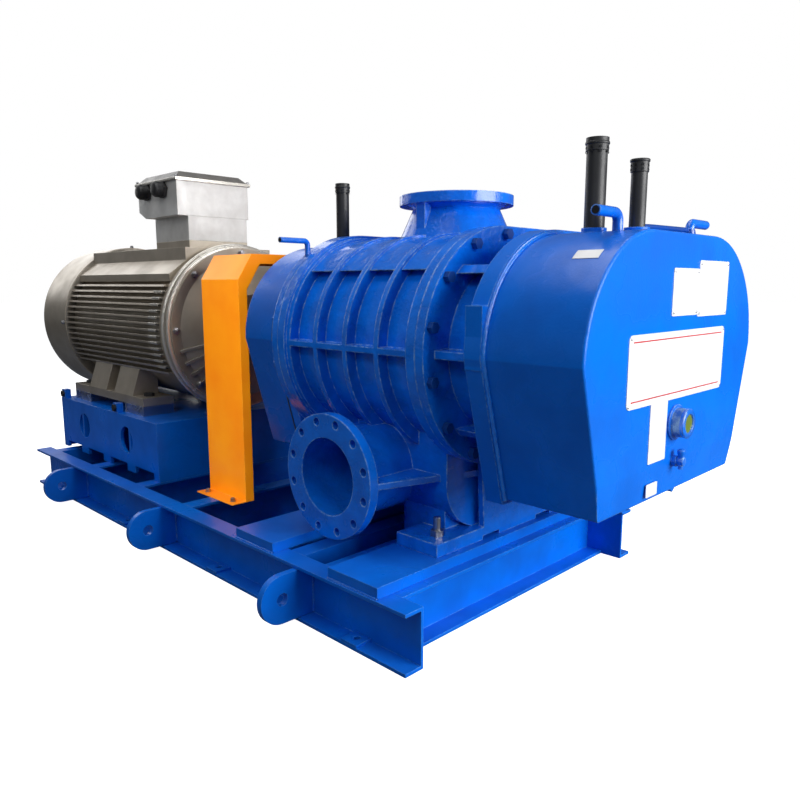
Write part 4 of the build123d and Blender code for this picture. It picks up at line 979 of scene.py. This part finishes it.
@dataclass
class Motor:
    """The finned motor: paint, rims, cowl and terminal box."""

    start: float = -1.271
    end: float = -0.25
    cowl_start: float = -1.611
    cowl_r: float = 0.39
    shield_rim_end: float = -0.215
    shield_nose: float = -0.119
    shield_bolt_r: float = 0.332
    screw_back: float = 0.019
    screw_flats: float = 0.016
    box: tuple[float, ...] = (-0.756, -0.391, -0.272, 0.092, 1.337, 1.487)
    gland_x: tuple[float, float] = (-0.655, -0.505)
    gland_z: float = 1.452
    fin_r: float = 0.378
    fin_pitch: float = 0.027
    fin_end: float = -0.308
    rib_angles: tuple[float, ...] = (196.0, 206.0, 216.0, 226.0, 314.0, 324.0, 334.0, 344.0)

    def build(self, shop: Workshop) -> None:
        """Dresses the motor and makes its fittings.

        Args:
            shop: The workshop that makes and fits the pieces.
        """
        shop.dress(["motor_frame", "fan_cowl"], "motor_grey_enamel")
        shop.dress(["terminal_riser", "terminal_box"], "terminal_grey_enamel")
        shop.dress(["fan_end_shield", "fan_grille"], "motor_cast_enamel")
        shop.dress(["drive_end_shield"], "motor_grey_enamel")
        shop.dress(["terminal_box_lid"], "terminal_lid_enamel")
        shop.dress(["motor_bolts"], "black_enamel")
        shop.dress(["motor_packers", "motor_shaft", "motor_bearing_outer_rings",
                    "motor_bearing_inner_rings"], "machined_steel_face")
        shop.dress(["stator", "motor_rotor_core"], "core_laminations")
        shop.dress(["cable_glands", "motor_fan"], "gland_nylon")
        shop.dress(["motor_pedestal", "jack_blocks"], "blue_plate_enamel")
        self.end_rims(shop)
        self.cowl_trim(shop)
        self.grille(shop)
        self.terminal_details(shop)
        self.shield_bolts(shop)

    def end_rims(self, shop: Workshop) -> None:
        """Makes two rims round the drive end of the frame, fin ends, and ribs on the end shield.

        Args:
            shop: The workshop that makes and fits the pieces.
        """
        def rims(shape: Shape) -> None:
            """Turns the two rounded rims.

            Args:
                shape: The mesh to add to.
            """
            for x, radius, half in ((self.end - 0.012, 0.3665, 0.006), (self.end + 0.018, 0.3605, 0.007)):
                ring = [(radius, 0.0)]
                ring += [(radius + 0.008 * math.sin(math.pi * n / 6), half - half * math.cos(math.pi * n / 6))
                         for n in range(1, 6)]
                ring += [(radius, 2 * half), (radius - 0.02, 2 * half), (radius - 0.02, 0.0)]
                lathe(shape, ring, (x - half, AT.drive_y, AT.axis_z), Way.GEAR_END, 96, True)

        # The rims wear the lighter copy of the motor grey, a painted highlight.
        shop.solid("drive_end_rims", rims, "motor_painted_highlight_enamel")

        def blocks(shape: Shape) -> None:
            """Makes the thickened drive end of each side fin.

            Args:
                shape: The mesh to add to.
            """
            length, depth = 0.068, 0.024
            for n in range(-6, 7):
                z = n * self.fin_pitch
                crest = math.sqrt(self.fin_r ** 2 - z ** 2) + 0.001
                for side in (-1, 1):
                    place = (self.fin_end - length, AT.drive_y + side * (crest - depth / 2), AT.axis_z + z)
                    prism(shape, rounded_rectangle(0.0125, depth, 0.004, 2), length, place, Way.GEAR_END,
                          0.0, 0.002)

        # The fin ends wear the lighter copy of the motor grey, a painted highlight.
        shop.solid("fin_end_blocks", blocks, "motor_painted_highlight_enamel")

        def ribs(shape: Shape) -> None:
            """Makes the cast ribs that run out from the nose of the end shield.

            Args:
                shape: The mesh to add to.
            """
            for degrees in self.rib_angles:
                angle = math.radians(degrees)
                outline = [(0.156, self.shield_nose - 0.004), (0.15, self.shield_nose - 0.02),
                           (0.306, self.shield_rim_end - 0.004), (0.33, self.shield_rim_end - 0.004),
                           (0.33, self.shield_rim_end + 0.006), (0.3, self.shield_rim_end + 0.016),
                           (0.166, self.shield_nose - 0.002)]
                sides = []
                for half in (-0.007, 0.007):
                    aside, up = -half * math.sin(angle), half * math.cos(angle)
                    corners = ((x, *around(AT.drive_y, radius, degrees)) for radius, x in outline)
                    sides.append([shape.verts.new((x, y + aside, z + up)) for x, y, z in corners])
                skin(shape, sides)

        shop.solid("end_shield_ribs", ribs, "motor_cast_enamel")

    def shield_bolts(self, shop: Workshop) -> None:
        """Places hex bolts round the drive-end shield.

        Args:
            shop: The workshop that makes and fits the pieces.
        """
        points = [(self.shield_rim_end, *around(AT.drive_y, self.shield_bolt_r, 45.0 * n))
                  for n in range(8)]
        shop.bolts("end_shield_bolts", points, Way.GEAR_END, 0.024)

    def cowl_trim(self, shop: Workshop) -> None:
        """Makes the rolled hem of the cowl and its screws.

        Args:
            shop: The workshop that makes and fits the pieces.
        """
        def hem(shape: Shape) -> None:
            """Turns the two rolled wires of the hem.

            Args:
                shape: The mesh to add to.
            """
            ring = [(self.cowl_r - 0.001 + x, y) for x, y in circle(0.0018, 8)]
            for x in (self.start - 0.004, self.start - 0.034):
                lathe(shape, ring, (x, AT.drive_y, AT.axis_z), Way.GEAR_END, 96, True)

        shop.solid("cowl_hem", hem, "motor_grey_enamel")
        for side, way in ((-1, Way.DISCHARGE), (1, Way.BACK)):
            place = (self.start - self.screw_back, AT.drive_y + side * self.cowl_r, AT.axis_z)
            shop.bolts("cowl_screw_" + way.name.lower(), [place], way, self.screw_flats)
        top = (self.start - self.screw_back, AT.drive_y, AT.axis_z + self.cowl_r)
        shop.bolts("cowl_screw_top", [top], Way.UP, self.screw_flats)

    def grille(self, shop: Workshop) -> None:
        """Makes round-wire rings over the air inlet.

        Args:
            shop: The workshop that makes and fits the pieces.
        """
        shop.grown("air_inlet_rings", shop.growers.rings, [(self.cowl_start + 0.0005, AT.drive_y, AT.axis_z)],
                   "motor_grey_enamel", "grey_paint", Ring_Count=14, Outer_Radius=0.338, Ring_Step=0.022,
                   Wire_Radius=0.003)

    def terminal_details(self, shop: Workshop) -> None:
        """Makes the lid screws, the lid rim and the gland nuts of the terminal box.

        Args:
            shop: The workshop that makes and fits the pieces.
        """
        x0, x1, y0, y1, z0, z1 = self.box
        rim_z = z1 + 0.012
        corners = [(x, y, rim_z) for x in (x0 - 0.001, x1 + 0.001) for y in (y0 - 0.001, y1 + 0.001)]
        shop.bolts("lid_screws", corners, Way.UP, 0.013)

        def rim(shape: Shape) -> None:
            """Makes the four bars of the rim, each with softened edges.

            Args:
                shape: The mesh to add to.
            """
            lap, height = 0.011, 0.0134
            middle = ((x0 + x1) / 2, (y0 + y1) / 2, rim_z - 0.006)
            for y in (y0 - lap / 2, y1 + lap / 2):
                prism(shape, rounded_rectangle(height, lap, 0.003, 2), x1 - x0 + 2 * lap,
                      (x0 - lap, y, middle[2]), Way.GEAR_END, 0.0, 0.002)
            for x in (x0 - lap, x1):
                prism(shape, rounded_rectangle(height, y1 - y0, 0.001, 2), lap, (x, middle[1], middle[2]),
                      Way.GEAR_END, 0.0, 0.0005)

        # The lid rim wears the lighter copy of the motor grey, a painted highlight.
        shop.solid("lid_rim", rim, "motor_painted_highlight_enamel", crease=25.0)

        def glands(shape: Shape) -> None:
            """Makes a hex nut and a ribbed dome on each cable entry.

            Args:
                shape: The mesh to add to.
            """
            for x in self.gland_x:
                nut = (x, y0 - 0.001, self.gland_z)
                prism(shape, circle(0.037, 6), 0.016, nut, Way.DISCHARGE, 0.2, 0.002)
                profile = [(0.0, 0.02), (0.034, 0.02)]
                for n in range(5):
                    profile += [(0.034, 0.021 + 0.005 * n), (0.0315, 0.0235 + 0.005 * n)]
                profile += [(0.031, 0.047), (0.026, 0.053), (0.014, 0.056), (0.0, 0.056)]
                lathe(shape, profile, (x, y0, self.gland_z), Way.DISCHARGE, 36)

        shop.solid("gland_nuts", glands, "gland_nylon")


@dataclass
class Guard:
    """The folded coupling guard and the coupling inside it."""

    x0: float = -0.045
    x1: float = 0.223
    half: float = 0.301
    foot_top: float = 0.184

    def build(self, shop: Workshop) -> None:
        """Dresses the guard and bolts its feet down.

        Args:
            shop: The workshop that makes and fits the pieces.
        """
        shop.dress(["coupling_guard"], "orange_sheet_enamel")
        shop.dress(["motor_coupling_half", "blower_coupling_half"], "ductile_iron")
        shop.dress(["coupling_pins"], "machined_steel_face")
        points = [(x, AT.drive_y + side * (self.half + 0.034), self.foot_top)
                  for side in (-1, 1) for x in (self.x0 + 0.04, self.x1 - 0.04)]
        shop.bolts("guard_foot_bolts", points, Way.UP, 0.019)


@dataclass(frozen=True)
class Standpipe:
    """One breather standpipe: its place, its radius and its top."""

    x: float
    y: float
    radius: float
    top: float

    def collar(self, shape: Shape) -> None:
        """Makes the collar that closes its top.

        Args:
            shape: The mesh to add to.
        """
        rim = self.radius + 0.0045
        brim = [(0.0, 0.0), (self.radius + 0.0035, 0.0), (rim, 0.0015), (rim, 0.006),
                (self.radius + 0.003, 0.0078), (0.0, 0.0085)]
        lathe(shape, brim, (self.x, self.y, self.top - 0.008), Way.UP, 36)


@dataclass(frozen=True)
class Plate:
    """One bare plate on the end face of the gear housing: its edges and its corner radius."""

    name: str
    y: Flat
    z: Flat
    corner: float
    riveted: bool = False

    def sheet(self, shape: Shape) -> None:
        """Makes the sheet with its outer edge broken.

        Args:
            shape: The mesh to add to.
        """
        (y0, y1), (z0, z1) = self.y, self.z
        centre = (AT.housing_end, (y0 + y1) / 2, (z0 + z1) / 2)
        outline = rounded_rectangle(z1 - z0, y1 - y0, self.corner)
        prism(shape, outline, 0.0022, centre, Way.GEAR_END, 0.0, 0.0008)

    def rivets(self) -> list[Point]:
        """Places the rivets near the corners.

        Returns:
            The places, or none for a plate without rivets.
        """
        inset = 0.009
        return [(AT.housing_end + 0.002, y, z) for y in (self.y[0] + inset, self.y[1] - inset)
                for z in (self.z[0] + inset, self.z[1] - inset)] if self.riveted else []


@dataclass
class Blower:
    """The blower: enamel, welds, bolts, oil fittings and bare plates."""

    standpipes: tuple[Standpipe, ...] = (
        Standpipe(1.543, -0.083, 0.028, 1.413),
        Standpipe(1.636, -0.02, 0.0215, 1.365),
        Standpipe(0.414, -0.011, 0.025, 1.407),
    )
    bare_plates: tuple[Plate, ...] = (
        Plate("end_sign_plate", (-0.191, 0.433), (0.713, 0.907), 0.016, True),
        Plate("upper_plate_left", (0.047, 0.216), (0.948, 1.08), 0.006, True),
        Plate("upper_plate_right", (0.218, 0.436), (0.942, 1.104), 0.006, True),
        Plate("upright_plate", (-0.05, 0.055), (0.545, 0.714), 0.004),
        Plate("small_plate", (-0.05, 0.017), (0.45, 0.488), 0.003),
    )
    glass_y: float = 0.113
    glass_z: float = 0.644
    cock_y: float = 0.115
    cock_z: float = 0.53
    rule_y: float = 0.121
    rule_z: Flat = (0.732, 0.888)
    rule_length: float = 0.58
    label_x: Flat = (1.602, 1.674)
    label_degrees: Flat = (124.0, 130.0)

    def build(self, shop: Workshop) -> None:
        """Dresses the blower and makes its fittings.

        Args:
            shop: The workshop that makes and fits the pieces.
        """
        shop.dress(["casing", "gear_side_plate", "drive_side_plate", "vent_elbows",
                    "sight_glass_body", "drain_plugs"], "blue_cast_enamel")
        # The casing bolts wear the darker blue copy, a painted shade.
        shop.dress(["casing_bolts"], "blue_painted_shade_enamel")
        shop.dress(["oil_cover", "gear_housing"], "blue_cover_enamel")
        shop.dress(["breather_pipes", "breather_caps"], "black_enamel")
        shop.dress(["sight_glass_lens"], "oil_glass")
        shop.dress(["drive_rotor", "driven_rotor"], "ductile_iron")
        shop.dress(["drive_shaft", "driven_shaft", "drive_timing_gear", "driven_timing_gear",
                    "bearing_outer_rings", "drive_bearing_inner_rings",
                    "driven_bearing_inner_rings"], "machined_steel_face")
        shop.dress(["shaft_seals"], "seal_rubber_black")
        self.neck_fillets(shop)
        self.housing_weld(shop)
        self.cover_bolts(shop)
        self.sight_glass(shop)
        self.vents(shop)
        self.breathers(shop)
        self.plates(shop)

    def neck_fillets(self, shop: Workshop) -> None:
        """Makes the cast fillets behind both pipe flanges.

        Args:
            shop: The workshop that makes and fits the pieces.
        """
        def build(shape: Shape) -> None:
            """Turns both fillets from one hollow section.

            Args:
                shape: The mesh to add to.
            """
            sweep = 0.03
            inner, outer = AT.neck_r - 0.012, AT.neck_r + sweep
            ring = [(inner, -0.004), (outer, -0.004), (outer, 0.001)]
            ring += [(outer - sweep * math.sin(math.pi / 2 * n / 8),
                      sweep - sweep * math.cos(math.pi / 2 * n / 8)) for n in range(1, 8)]
            ring += [(AT.neck_r + 0.001, sweep), (inner, sweep)]
            lathe(shape, ring, (AT.port_x, AT.mid_y, AT.inlet_z - AT.port_t), Way.DOWN, 72, True)
            lathe(shape, ring, (AT.port_x, AT.outlet_y + AT.port_t, AT.outlet_z), Way.BACK, 72, True)

        shop.solid("neck_fillets", build, "blue_cast_enamel", crease=50.0)

    def housing_weld(self, shop: Workshop) -> None:
        """Lays the bead on the gear housing's flange and the oil cover's paper joint.

        Args:
            shop: The workshop that makes and fits the pieces.
        """
        run = [(AT.housing_lip + 0.002, y, z) for y, z in cover_line(0.003)]
        # The bead wears the lighter blue copy, a painted highlight.
        shop.weld("housing_bead", [run], 0.008, "blue_weld_highlight_enamel")
        run = [(AT.oil_cover_end - 0.0005, y, z) for y, z in cover_line(0.001)]
        shop.weld("oil_cover_joint", [run], 0.003, "oil_paper_gasket")

    def cover_bolts(self, shop: Workshop) -> None:
        """Places hex bolts on the drive side plate and the oil cover.

        Args:
            shop: The workshop that makes and fits the pieces.
        """
        radius = (AT.casing_r + AT.flange_r) / 2
        points = []
        for axis_y, first in ((AT.driven_y, -90.0), (AT.drive_y, 90.0)):
            points += [(AT.casing_start - 0.032, *around(axis_y, radius, first + 180.0 * n / 7))
                       for n in range(8)]
        shop.bolts("drive_plate_bolts", points, Way.FAN_END, 0.03, "blue_cast_enamel", "blue_paint")
        inner = cover_line(-0.03, 6)[1:-1]
        points = [(AT.oil_cover_start, y, z) for y, z in inner[::2]]
        points += [(AT.oil_cover_start, y, AT.axis_z - AT.cover_depth + 0.03)
                   for y in (-0.2, 0.02, 0.24, 0.46)]
        shop.bolts("oil_cover_bolts", points, Way.FAN_END, 0.024, "blue_cast_enamel", "blue_paint")

    def sight_glass(self, shop: Workshop) -> None:
        """Makes the ribbed rings round the sight glass and the small drain cock.

        Args:
            shop: The workshop that makes and fits the pieces.
        """
        place = (AT.housing_end, self.glass_y, self.glass_z)

        def bezel(shape: Shape) -> None:
            """Turns the ribbed bezel.

            Args:
                shape: The mesh to add to.
            """
            ring = [(0.03, 0.0), (0.052, 0.0), (0.052, 0.006), (0.042, 0.008)]
            for n in range(5):
                ring += [(0.0425, 0.01 + 0.0045 * n), (0.0405, 0.01225 + 0.0045 * n)]
            ring += [(0.043, 0.0335), (0.043, 0.041), (0.04, 0.0435), (0.028, 0.0435), (0.0265, 0.0405),
                     (0.0265, 0.036), (0.03, 0.034)]
            lathe(shape, ring, place, Way.GEAR_END, 48, True)

        shop.solid("sight_glass_bezel", bezel, "blue_cast_enamel", crease=50.0)

        def cock(shape: Shape) -> None:
            """Makes the hex nut and the upright plug of the cock.

            Args:
                shape: The mesh to add to.
            """
            nut, body = ((AT.housing_end + reach, self.cock_y, self.cock_z) for reach in (0.014, 0.024))
            prism(shape, circle(0.013, 6), 0.02, nut, Way.GEAR_END, 0.3, 0.001)
            handle = [(0.0, 0.0), (0.009, 0.0), (0.009, 0.02), (0.0115, 0.024), (0.0115, 0.034),
                      (0.006, 0.038), (0.0, 0.038)]
            lathe(shape, handle, body, Way.UP, 20)
            lathe(shape, [(0.0, 0.0), (0.007, 0.0), (0.007, 0.022), (0.0, 0.022)], body, Way.DOWN, 16)

        shop.solid("drain_cock", cock, "blue_cast_enamel", crease=40.0)

    def vents(self, shop: Workshop) -> None:
        """Makes dark discs of painted shade in the open ends of the vent elbows, and the small pipe on top of
        the gear housing.

        Args:
            shop: The workshop that makes and fits the pieces.
        """
        ends = ((AT.casing_start - 0.016, -0.408, 1.1845, 0.0072, Way.DISCHARGE),
                (1.62, -0.214, 1.222, 0.0105, Way.DISCHARGE), (1.62, 0.478, 1.2217, 0.0105, Way.BACK))

        def bores(shape: Shape) -> None:
            """Lays a near-black disc in each elbow's end, painted shade for the open bore."""
            for x, y, z, radius, way in ends:
                lathe(shape, [(0.0, 0.0), (radius, 0.0), (radius, 0.0006), (0.0, 0.0006)], (x, y, z), way, 20)

        # Dark discs in the elbow ends, painted shade.
        shop.solid("vent_bore_shade", bores, "bore_painted_shade")

        def pipe(shape: Shape) -> None:
            """Bends the small pipe and turns the boss it ends in.

            Args:
                shape: The mesh to add to.
            """
            corners = [(1.6, 0.05, 1.178), (1.6, 0.05, 1.196), (1.606, 0.12, 1.1985), (1.62, 0.34, 1.2)]
            tube(shape, bent(corners, 0.008), 0.0075, 14)
            lathe(shape, [(0.0, 0.0), (0.019, 0.0), (0.019, 0.016), (0.016, 0.03), (0.0, 0.03)],
                  (1.62, 0.36, 1.172), Way.UP, 20)

        # The pipe wears the darker blue copy, a painted shade.
        shop.solid("vent_top_pipe", pipe, "blue_painted_shade_enamel")

    def breathers(self, shop: Workshop) -> None:
        """Makes the collars of the standpipes and their perforations, dark discs of painted shade.

        Args:
            shop: The workshop that makes and fits the pieces.
        """
        def collars(shape: Shape) -> None:
            """Makes every standpipe's collar."""
            for pipe in self.standpipes:
                pipe.collar(shape)

        shop.solid("breather_collars", collars, "black_enamel", crease=40.0)
        # The perforations are dark discs of painted shade.
        for n, pipe in enumerate(self.standpipes, start=1):
            shop.grown(f"breather_holes_{n}", shop.growers.perforation, [(pipe.x, pipe.y, pipe.top - 0.022)],
                       "bore_painted_shade", "black_paint", Holes_Round=9, Hole_Rows=2,
                       Band_Radius=pipe.radius + 0.0026, Band_Height=0.011, Hole_Radius=0.0034)

    def plates(self, shop: Workshop) -> None:
        """Fits the bare white plates, the sign's rules, the label and the rivets.

        Args:
            shop: The workshop that makes and fits the pieces.
        """
        finish, slot, crease = "white_plate_enamel", "machined_steel", 25.0
        for plate in self.bare_plates:
            shop.solid(plate.name, plate.sheet, finish, crease)

        def rules(shape: Shape) -> None:
            """Makes the two painted rules of the sign.

            Args:
                shape: The mesh to add to.
            """
            for z in self.rule_z:
                prism(shape, rounded_rectangle(0.0035, self.rule_length, 0.0015, 2), 0.0005,
                      (AT.housing_end + 0.0021, self.rule_y, z), Way.GEAR_END)

        shop.solid("sign_rules", rules, "red_rule_enamel", crease)
        shop.solid("shell_label", self.label, finish, crease)

        def heads(shape: Shape) -> None:
            """Turns the domed rivet heads.

            Args:
                shape: The mesh to add to.
            """
            dome = [(0.0042, 0.0), (0.0038, 0.0014), (0.0024, 0.0024), (0.0, 0.0028)]
            for plate in self.bare_plates:
                for place in plate.rivets():
                    lathe(shape, dome, place, Way.GEAR_END, 14)
                    lathe(shape, [(0.0, 0.0), dome[0]], place, Way.GEAR_END, 14)

        shop.solid("plate_rivets", heads, "plated_steel")

    def label(self, shape: Shape) -> None:
        """Makes the thin label that lies on the round shoulder of the gear housing.

        Args:
            shape: The mesh to add to.
        """
        (start, stop), (low, high) = self.label_x, (AT.cover_r + 0.0004, AT.cover_r + 0.0014)
        section = ((start, low), (stop, low), (stop, high), (start, high))
        first, last = self.label_degrees
        turns = [first + (last - first) * n / 4 for n in range(5)]
        skin(shape, [[shape.verts.new((x, *around(AT.drive_y, radius, degrees))) for x, radius in section]
                     for degrees in turns])


# ---------------------------------------------------------------------- studio
WHITE = (1.0, 1.0, 1.0, 1.0)


@dataclass(frozen=True)
class SoftBox:
    """One area light."""

    name: str
    place: Point
    aim: Point
    size: Flat
    watts: float
    mirrored: bool = True

    def build(self) -> bpy.types.Object:
        """Adds the light, turned towards its aim.

        Returns:
            The light.
        """
        data = bpy.data.lights.new(self.name, "AREA")
        data.shape = "RECTANGLE"
        data.size, data.size_y = self.size
        data.energy = self.watts
        light = bpy.data.objects.new(self.name, data)
        light.visible_glossy = self.mirrored
        light.location = self.place
        light.rotation_euler = (Vector(self.aim) - Vector(self.place)).to_track_quat("-Z", "Y").to_euler()
        bpy.context.scene.collection.objects.link(light)
        return light


@dataclass
class Studio:
    """Floor, world, lights and camera."""

    sky: float = 0.13
    floor_bounce: Colour = (0.1, 0.11, 0.13)
    boxes: tuple[SoftBox, ...] = (
        SoftBox("gear_end_key", (5.4, 1.0, 1.9), (1.0, 0.1, 0.8), (3.4, 2.6), 285.0),
        SoftBox("overhead", (0.4, 0.0, 4.6), (0.3, 0.0, 0.9), (4.2, 2.0), 90.0),
        SoftBox("fan_end_rim", (-5.0, 0.6, 3.0), (-0.8, 0.0, 1.0), (5.0, 3.0), 100.0),
        SoftBox("discharge_fill", (-1.4, -5.0, 1.6), (0.0, 0.0, 0.8), (2.5, 2.5), 13.0, False),
        SoftBox("edge_strip", (2.4, -3.6, 3.6), (0.7, 0.0, 0.9), (0.3, 2.6), 30.0),
    )
    own_boxes: tuple[tuple[SoftBox, tuple[str, ...]], ...] = (
        (SoftBox("guard_fill", (1.7, -2.7, 1.8), (0.09, -0.37, 0.7), (1.0, 1.0), 84.0, False),
         ("coupling_guard",)),
        (SoftBox("casing_fill", (1.7, -3.4, 3.2), (0.8, 0.0, 0.8), (0.5, 0.5), 14.0, False),
         ("casing", "gear_side_plate", "drive_side_plate", "motor_pedestal")),
    )

    def build(self, materials: dict[str, bpy.types.Material], nodes: dict[str, bpy.types.Object]) -> None:
        """Builds the studio round the machine.

        Args:
            materials: The finishes by name.
            nodes: The solid bodies by name; some have a small fill light of their own.
        """
        self.floor(materials["pale_floor"])
        self.world()
        for box in self.boxes:
            box.build()
        for box, names in self.own_boxes:
            lit = bpy.data.collections.new("lit_by_" + box.name)
            for name in names:
                lit.objects.link(nodes[name])
            box.build().light_linking.receiver_collection = lit
        self.camera()
        bpy.context.scene.view_settings.view_transform = "Standard"

    def floor(self, material: bpy.types.Material) -> None:
        """Lays a wide plain floor just under the base.

        Args:
            material: The floor's finish.
        """
        shape = bmesh.new()
        bmesh.ops.create_grid(shape, x_segments=4, y_segments=4, size=40.0)
        bmesh.ops.translate(shape, verts=shape.verts, vec=(0.0, 0.0, -0.0008))
        mesh = bpy.data.meshes.new("studio_floor")
        shape.to_mesh(mesh)
        shape.free()
        self.bright_floor(material)
        mesh.materials.append(material)
        floor = bpy.data.objects.new("studio_floor", mesh)
        bpy.context.scene.collection.objects.link(floor)

    def bright_floor(self, material: bpy.types.Material) -> None:
        """Keeps the floor white to look at and dim as a bounce of light.

        Args:
            material: The floor's finish.
        """
        w, nodes = TreeWriter(material.node_tree), material.node_tree.nodes
        dim = w.out("ShaderNodeBsdfDiffuse", {"Color": (*self.floor_bounce, 1.0)})
        glow = w.out("ShaderNodeEmission", {"Color": WHITE, "Strength": 0.93})
        lit = w.out("ShaderNodeAddShader", {0: nodes["Principled BSDF"].outputs[0], 1: glow})
        w.join(self.by_ray(w, dim, lit), nodes["Material Output"].inputs["Surface"])

    @staticmethod
    def by_ray(w: TreeWriter, cast: Socket, seen: Socket) -> Socket:
        """Mixes what is cast on the machine with what the camera sees and returns the output."""
        ray = w.out("ShaderNodeLightPath", output="Is Camera Ray")
        return w.out("ShaderNodeMixShader", {0: ray, 1: cast, 2: seen})

    def world(self) -> None:
        """White behind the machine, dimmer as a light."""
        world = bpy.data.worlds.new("studio_air")
        bpy.context.scene.world = world
        world.use_nodes = True
        w, nodes = TreeWriter(world.node_tree), world.node_tree.nodes
        behind = nodes["Background"]
        behind.inputs["Color"].default_value = (0.9, 0.95, 1.0, 1.0)
        behind.inputs["Strength"].default_value = self.sky
        white = w.out("ShaderNodeBackground", {"Color": WHITE, "Strength": 1.0})
        w.join(self.by_ray(w, behind.outputs[0], white), nodes["World Output"].inputs["Surface"])

    def camera(self) -> None:
        """The main view."""
        data = bpy.data.cameras.new("main_view")
        data.lens = 31.95
        data.sensor_width = 36.0
        view = bpy.data.objects.new("main_view", data)
        view.location = (2.5655, -1.8749, 1.037)
        view.rotation_euler = (math.radians(80.7), 0.0, math.radians(44.62))
        bpy.context.scene.collection.objects.link(view)
        bpy.context.scene.camera = view


def main() -> None:
    """Loads the frame, dresses it sub-assembly by sub-assembly, and closes the scene."""
    logging.basicConfig(level=logging.INFO, format="%(name)s %(message)s")
    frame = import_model()
    effects = Effects()
    materials = {finish.name: finish.build(effects) for finish in FINISHES}
    shop = Workshop(frame["nodes"], materials, Growers())
    for part in (BaseFrame(), Motor(), Guard(), Blower()):
        part.build(shop)
        LOG.info("%s done", type(part).__name__)
    Studio().build(materials, frame["nodes"])
    LOG.info("%d pieces fitted", len(shop.made))


if __name__ == "__main__":
    main()
